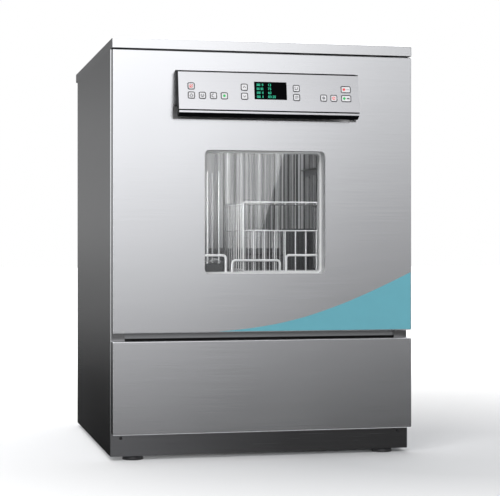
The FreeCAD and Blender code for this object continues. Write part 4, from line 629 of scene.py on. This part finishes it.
posts, deck = [], []
for x in range(LEFT + FLOOR_PITCH, RIGHT, FLOOR_PITCH):
    deck.append(line((x, RACK_FRONT, DECK), (x, RACK_BACK, DECK)))
for i in range(1, FLOOR_CROSSWIRES + 1):
    d = RACK_FRONT + i * (RACK_BACK - RACK_FRONT) / (FLOOR_CROSSWIRES + 1)
    deck.append(line((LEFT, d, DECK), (RIGHT, d, DECK)))
for x in (LEFT, RIGHT):
    for i in range(SIDE_POSTS):
        d = RACK_FRONT + i * (RACK_BACK - RACK_FRONT) / (SIDE_POSTS - 1)
        d = min(max(d, RACK_FRONT + POST_INSET), RACK_BACK - POST_INSET)
        posts.append(line((x, d, DECK), (x, d, RIM)))
rack_rim = wires("rack_rim_wires", thick, RIM_WIRE)
wires("rack_post_wires", posts, FLOOR_WIRE)
rack_deck = wires("rack_deck_wires", deck, FLOOR_WIRE)
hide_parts("rack_deck")


def build_block(work, x0, x1, d0, d1, z0, z1, edge):
    """Bar with rounded edges."""
    made = bmesh.ops.create_cube(work, size=1.0)["verts"]
    low, high = at(x0, d0, z0), at(x1, d1, z1)
    for vert in made:
        vert.co = Vector(low[i] + (vert.co[i] + 0.5) * (high[i] - low[i]) for i in range(3))
    edges = list({e for v in made for e in v.link_edges})
    bmesh.ops.bevel(work, geom=edges, offset=edge * MM, segments=2, affect="EDGES", profile=0.5)


RUNNER_SIDES, RUNNER_ENDS, RUNNER_HEIGHTS, RUNNER_EDGE = (254, 262), (114, 590), (430.3, 438.3), 1.5
LUG_SIDES, LUG_HEIGHTS, LUG_START, LUG_PITCH, LUG_HALF, LUG_EDGE = (250, 258), (436, 440), 20, 228, 5, 0.8


def build_runners(work):
    """Bars that glide on the rails, with three lugs to the rack floor on each side."""
    for side in (-1, 1):
        bar, lug = sorted(side * x for x in RUNNER_SIDES), sorted(side * x for x in LUG_SIDES)
        build_block(work, *bar, *RUNNER_ENDS, *RUNNER_HEIGHTS, RUNNER_EDGE)
        for i in range(3):
            d = RACK_FRONT + LUG_START + i * LUG_PITCH
            build_block(work, *lug, d - LUG_HALF, d + LUG_HALF, *LUG_HEIGHTS, LUG_EDGE)


piece("rack_runner_bars", mesh_of("rack_runner_bars", build_runners), wire_metal, "rack")
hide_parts("rack_frame")


# Basket in round wire

BASKET_LEFT, PITCH, CELLS, ROWS, BASKET_FRONT = -31, 26.5, 9, 8, 106
BASKET_RIGHT = BASKET_LEFT + PITCH * CELLS
BASKET_BACK = BASKET_FRONT + PITCH * ROWS
BASKET_FLOOR, BASKET_BELT, BASKET_RIM = 443.74, 545, 615
CORNER, STUB, LATTICE_COUNT = 5, 5.5, 12

strong, fine, lattice = [], [], []
for d in (BASKET_FRONT, BASKET_BACK):
    strong.append(loop([(BASKET_LEFT, d, BASKET_FLOOR), (BASKET_LEFT, d, BASKET_RIM),
                        (BASKET_RIGHT, d, BASKET_RIM), (BASKET_RIGHT, d, BASKET_FLOOR)], CORNER))
    fine.append(line((BASKET_LEFT, d, BASKET_BELT), (BASKET_RIGHT, d, BASKET_BELT)))
    for i in range(1, CELLS):
        x = BASKET_LEFT + i * PITCH
        fine.append(line((x, d, BASKET_FLOOR), (x, d, BASKET_BELT)))
        fine.append(line((x, d, BASKET_RIM - STUB), (x, d, BASKET_RIM)))
    for i in range(LATTICE_COUNT):
        x = BASKET_LEFT + (i + 0.5) * PITCH / 3
        lattice.append(line((x, d, BASKET_FLOOR), (x, d, BASKET_BELT)))
for x in (BASKET_LEFT, BASKET_RIGHT):
    for z in (BASKET_FLOOR + CORNER, BASKET_RIM - CORNER):
        strong.append(line((x, BASKET_FRONT, z), (x, BASKET_BACK, z)))
    fine.append(line((x, BASKET_FRONT, BASKET_BELT), (x, BASKET_BACK, BASKET_BELT)))
    for i in range(1, ROWS):
        d = BASKET_FRONT + i * PITCH
        fine.append(line((x, d, BASKET_FLOOR), (x, d, BASKET_RIM - CORNER)))
for i in range(1, CELLS):
    x = BASKET_LEFT + i * PITCH
    fine.append(line((x, BASKET_FRONT, BASKET_FLOOR), (x, BASKET_BACK, BASKET_FLOOR)))
for i in range(2, ROWS, 2):
    d = BASKET_FRONT + i * PITCH
    fine.append(line((BASKET_LEFT, d, BASKET_FLOOR), (BASKET_RIGHT, d, BASKET_FLOOR)))
basket = wires("basket_frame_wires", strong, FLOOR_WIRE)
wires("basket_mesh_wires", fine, MESH_WIRE)
wires("basket_lattice_wires", lattice, LATTICE_WIRE)
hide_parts("insert_basket")


# Injector ducts with their slender tubes

DUCTS, DUCT_HALF, DUCT_FRONT, DUCT_BACK = (-104, -196), 20, 108, 580
DUCT_FOOT, DUCT_TOP, DUCT_EDGE = 442, 464, 2.0
CROSS_FRONT, CROSS_RIGHT, NOSE_HALF, NOSE_BACK, NOSE_STEP, NOSE_EDGE = 550, 20, 9.5, 612, 1.5, 4.0
TUBE_SIDE, TUBE_START, TUBE_PITCH, TUBE_ROWS, TUBE_SINK, TUBE_TOP = 14, 14, 80, 6, 2, 689

tubes = []
for middle in DUCTS:
    for row in range(TUBE_ROWS):
        for side in (-TUBE_SIDE, TUBE_SIDE):
            d = RACK_FRONT + TUBE_START + TUBE_PITCH * row
            tubes.append(line((middle + side, d, DUCT_TOP - TUBE_SINK), (middle + side, d, TUBE_TOP)))
injectors = wires("injector_tubes", tubes, TUBE, rod_metal)


def build_ducts(work):
    """Two ducts, the cross duct behind them and the nose that docks at the rear wall."""
    level = (DUCT_FOOT, DUCT_TOP)
    for middle in DUCTS:
        build_block(work, middle - DUCT_HALF, middle + DUCT_HALF, DUCT_FRONT, DUCT_BACK, *level, DUCT_EDGE)
    build_block(work, DUCTS[1] + DUCT_HALF, CROSS_RIGHT, CROSS_FRONT, DUCT_BACK, *level, DUCT_EDGE)
    build_block(work, -NOSE_HALF, NOSE_HALF, DUCT_BACK, NOSE_BACK, DUCT_FOOT + NOSE_STEP, DUCT_TOP - NOSE_STEP,
                NOSE_EDGE)


piece("injector_ducts", mesh_of("injector_ducts", build_ducts), duct_shaded_metal, "rack")
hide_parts("rack_injectors")


# Camera at the photograph's place

SENSOR_WIDTH, IMAGE_WIDTH, FOCAL_PIXELS, SHIFT_PIXELS, CAMERA_TURN = 36.0, 500.0, 1480.4, -2.4, -12.935

camera_data = bpy.data.cameras.new("camera")
camera_data.sensor_width = SENSOR_WIDTH
camera_data.lens = FOCAL_PIXELS / IMAGE_WIDTH * SENSOR_WIDTH
camera_data.shift_y = SHIFT_PIXELS / IMAGE_WIDTH
camera = bpy.data.objects.new("camera", camera_data)
camera.location = (-0.8278, -3.80105, 0.50813)
camera.rotation_euler = (math.radians(90), 0, math.radians(CAMERA_TURN))
scene.collection.objects.link(camera)
scene.camera = camera


# Studio. Each row of stops gives grey levels along one measure of a ray's direction: x right, y back, z up.

# by height, for rays that leave towards the front
FRONT_STOPS = [(-1.0, 0.5), (-0.38, 0.36), (-0.26, 0.02), (-0.16, 0.02), (-0.10, 0.142), (-0.06, 0.335),
               (0.0, 0.51), (0.13, 0.93), (0.4, 1.0), (1.0, 0.9)]
# by height, for rays that leave towards the rear
REAR_STOPS = [(-1.0, 0.30), (-0.38, 0.16), (-0.26, 0.001), (-0.16, 0.001), (-0.09, 0.012), (-0.07, 0.038),
              (-0.04, 0.074), (0.02, 0.122), (0.07, 0.114), (0.13, 0.080), (0.5, 0.35), (1.0, 0.6)]
# rear rays by their part to the right, as shares of REAR_LIFT
BEYOND_STOPS = [(-1.0, 1.0), (-0.85, 0.8), (-0.50, 0.167), (0.02, 0.167), (0.22, 0.6), (1.0, 1.0)]
REAR_LIFT = 6.0
# front rays by their turn to the right, for the light that falls on surfaces and for what they mirror
SIDE_STOPS = [(-4.0, 0.5), (-0.5, 1.0), (0.13, 1.0), (0.35, 0.80), (2.0, 0.35), (4.0, 0.3)]
MIRRORED_SIDE_STOPS = [(-4.0, 0.95), (-0.5, 1.0), (0.13, 1.0), (0.35, 0.80), (1.1, 0.45),
                       (2.5, 0.8), (4.0, 0.9)]
# edge of a slanted card
CARD_STOPS = [(0.0, 1.0), (0.232, 1.0), (0.238, 0.6), (1.0, 0.6)]
CARD_SLANT = 0.251
# how fast the level falls towards the right: at the horizon, by height, and more in a low and in a high field
FALL_LEVEL, FALL_BY_HEIGHT, FALL_LOW, FALL_HIGH = 1.45, -9.0, 120.0, 26.0
DOME_STRENGTH = 1.75


def studio_world():
    """White to the camera; a soft dome, brighter in front and above, for everything else."""
    world = bpy.data.worlds.new("studio")
    scene.world = world
    world.use_nodes = True
    tree = world.node_tree
    tree.nodes.clear()
    out = tree.nodes.new("ShaderNodeOutputWorld")
    coordinates = tree.nodes.new("ShaderNodeTexCoord")
    split = tree.nodes.new("ShaderNodeSeparateXYZ")
    rays = tree.nodes.new("ShaderNodeLightPath")
    tree.links.new(coordinates.outputs["Generated"], split.inputs[0])
    x, y, z = split.outputs

    def plug(node, values):
        """Sets numbers on a node's inputs, or links sockets to them."""
        for index, value in values:
            if isinstance(value, (int, float)):
                node.inputs[index].default_value = value
            else:
                tree.links.new(value, node.inputs[index])
        return node.outputs[0]

    def math_node(operation, *values):
        node = tree.nodes.new("ShaderNodeMath")
        node.operation = operation
        return plug(node, enumerate(values))

    def clamp(value, low, high):
        return math_node("MINIMUM", math_node("MAXIMUM", value, low), high)

    def glossy_only(calm, mirrored):
        """One level for the light that falls on surfaces, another for what they mirror."""
        node = tree.nodes.new("ShaderNodeMix")
        return plug(node, ((0, rays.outputs["Is Glossy Ray"]), (2, calm), (3, mirrored)))

    def ramp(value, stops, low, high):
        """Piecewise curve of grey levels over a range."""
        spread = tree.nodes.new("ShaderNodeMapRange")
        spread.inputs["From Min"].default_value = low
        spread.inputs["From Max"].default_value = high
        tree.links.new(value, spread.inputs["Value"])
        node = tree.nodes.new("ShaderNodeValToRGB")
        band = node.color_ramp
        band.interpolation = "EASE"
        while len(band.elements) > 1:
            band.elements.remove(band.elements[-1])
        for index, (place, level) in enumerate(stops):
            spot = (place - low) / (high - low)
            element = band.elements[0] if index == 0 else band.elements.new(spot)
            element.position = spot
            element.color = (level, level, level, 1.0)
        tree.links.new(spread.outputs["Result"], node.inputs["Fac"])
        return node.outputs["Color"]

    # falling off towards the right, steeper for rays that point down, but not straight down, or well up
    fall = math_node("MULTIPLY_ADD", clamp(z, -0.14, 0.05), FALL_BY_HEIGHT, FALL_LEVEL)
    low = math_node("MULTIPLY", clamp(math_node("SUBTRACT", -0.06, z), 0.0, 0.08),
                    clamp(math_node("MULTIPLY_ADD", z, 8.0, 3.0), 0.0, 1.0))
    high = clamp(math_node("SUBTRACT", z, 0.25), 0.0, 0.25)
    extra = math_node("ADD", math_node("MULTIPLY", low, FALL_LOW), math_node("MULTIPLY", high, FALL_HIGH))
    turn = math_node("DIVIDE", x, math_node("MAXIMUM", math_node("MULTIPLY", y, -1.0), 0.2))
    across = glossy_only(ramp(turn, SIDE_STOPS, -4.0, 4.0), ramp(turn, MIRRORED_SIDE_STOPS, -4.0, 4.0))
    side = math_node("POWER", across, math_node("ADD", fall, extra))
    card = ramp(math_node("SUBTRACT", turn, math_node("MULTIPLY", z, CARD_SLANT)), CARD_STOPS, 0.0, 1.0)
    front = math_node("MULTIPLY", math_node("MULTIPLY", ramp(z, FRONT_STOPS, -1.0, 1.0), side), card)
    lift = math_node("MULTIPLY", ramp(x, BEYOND_STOPS, -1.0, 1.0), REAR_LIFT)
    rear = math_node("MULTIPLY", glossy_only(1.0, lift), ramp(z, REAR_STOPS, -1.0, 1.0))

    mix = tree.nodes.new("ShaderNodeMix")
    mix.data_type = "RGBA"
    tree.links.new(ramp(y, [(-0.5, 0.0), (0.3, 1.0)], -1.0, 1.0), mix.inputs[0])
    tree.links.new(front, mix.inputs[6])
    tree.links.new(rear, mix.inputs[7])
    dome = tree.nodes.new("ShaderNodeBackground")
    dome.inputs["Strength"].default_value = DOME_STRENGTH
    tree.links.new(mix.outputs[2], dome.inputs["Color"])
    white = tree.nodes.new("ShaderNodeBackground")
    white.inputs["Color"].default_value = (1.0, 1.0, 1.0, 1.0)
    choose = tree.nodes.new("ShaderNodeMixShader")
    tree.links.new(rays.outputs["Is Camera Ray"], choose.inputs["Fac"])
    tree.links.new(dome.outputs[0], choose.inputs[1])
    tree.links.new(white.outputs[0], choose.inputs[2])
    tree.links.new(choose.outputs[0], out.inputs["Surface"])


studio_world()


def softbox(name, place, target, size, power):
    data = bpy.data.lights.new(name, "AREA")
    data.shape = "RECTANGLE"
    data.size, data.size_y = size
    data.energy = power
    lamp = bpy.data.objects.new(name, data)
    lamp.location = place
    lamp.rotation_euler = (Vector(target) - Vector(place)).to_track_quat("-Z", "Y").to_euler()
    scene.collection.objects.link(lamp)
    return lamp


SOFTBOXES = [
    # name, place, side, power
    ("key_softbox", (-1.6, -2.6, 2.6), 1.6, 45.0), ("fill_softbox", (2.2, -2.4, 1.4), 1.4, 12.0),
    ("top_softbox", (0.2, 0.6, 3.0), 2.0, 25.0),
]
for name, place, width, power in SOFTBOXES:
    softbox(name, place, (0, 0, 0.5), (width, width), power).visible_glossy = False

CHAMBER_LAMPS = [
    # x, depth, z, width, height, power
    (0, 60, 905, 0.50, 0.02, 0.7), (-235, 66, 640, 0.03, 0.50, 0.9), (235, 66, 640, 0.03, 0.50, 0.35),
]
for x, depth, z, wide, tall, power in CHAMBER_LAMPS:
    lamp = softbox("chamber_lamp", at(x, depth, z), at(x * 0.2, 640, 640), (wide, tall), power)
    lamp.visible_camera = False


def add_up(s, first, second):
    """Surface that shows two shaders on top of each other."""
    total = s.nodes.new("ShaderNodeAddShader")
    s.link(first.outputs[0], total.inputs[0])
    s.link(second.outputs[0], total.inputs[1])
    s.link(total.outputs[0], s.output.inputs["Surface"])


def glare_card():
    """Slanted softbox that only the outer pane mirrors: the pale field on the window, with its oblique edge."""
    distance, corners = -4.5, [(0.60, 0.36), (0.930, 0.36), (1.148, 1.10), (0.60, 1.10)]

    def build(work):
        work.faces.new([work.verts.new((x, distance, z)) for x, z in corners])

    card = bpy.data.objects.new("glare_card", mesh_of("glare_card", build))
    scene.collection.objects.link(card)
    s = Shader("glare_card")
    s.nodes.remove(s.bsdf)
    light = s.nodes.new("ShaderNodeEmission")
    s.link(s.spread(s.axes()[2], 0.5, 8.5, 0.46, 0.72), light.inputs["Strength"])
    add_up(s, light, s.nodes.new("ShaderNodeBsdfTransparent"))
    card.data.materials.append(s.material)
    card.visible_camera = card.visible_diffuse = card.visible_transmission = card.visible_shadow = False
    panes = bpy.data.collections.new("glare_receivers")
    panes.objects.link(nodes["outer_glass"])
    card.light_linking.receiver_collection = panes


def studio_floor():
    """Pale floor that stays white to the camera and keeps the soft shadow, and has a painted shadow near the
    machine.
    """

    def build(work):
        bmesh.ops.create_grid(work, x_segments=1, y_segments=1, size=30.0)

    floor = bpy.data.objects.new("studio_floor", mesh_of("studio_floor", build))
    scene.collection.objects.link(floor)
    s = Shader("studio_floor")
    s.nodes.remove(s.bsdf)
    rays = s.nodes.new("ShaderNodeLightPath")
    matt = s.nodes.new("ShaderNodeBsdfDiffuse")
    spot = s.nodes.new("ShaderNodeVectorMath")
    spot.operation = "LENGTH"
    s.link(s.place((1.0, 1.0, 1.0), (-0.52, 0.36, 0.0)), spot.inputs[0])
    # painted shadow: near a spot by the machine the floor turns grey and its lift for the camera fades
    painted_shadow_grey, far_shade = (0.60, 0.605, 0.615, 1.0), (0.95, 0.95, 0.95, 1.0)
    far = s.spread(spot.outputs["Value"], 0.0, 1.0, 0.38, 3.2)
    s.link(s.blend(far, painted_shadow_grey, far_shade), matt.inputs["Color"])
    lift = s.nodes.new("ShaderNodeEmission")
    s.link(s.combine("MULTIPLY", rays.outputs["Is Camera Ray"], s.combine("MULTIPLY", far, 0.7)),
           lift.inputs["Strength"])
    add_up(s, matt, lift)
    floor.data.materials.append(s.material)
    floor.visible_glossy = False


glare_card()
studio_floor()
scene.view_settings.view_transform = "Standard"
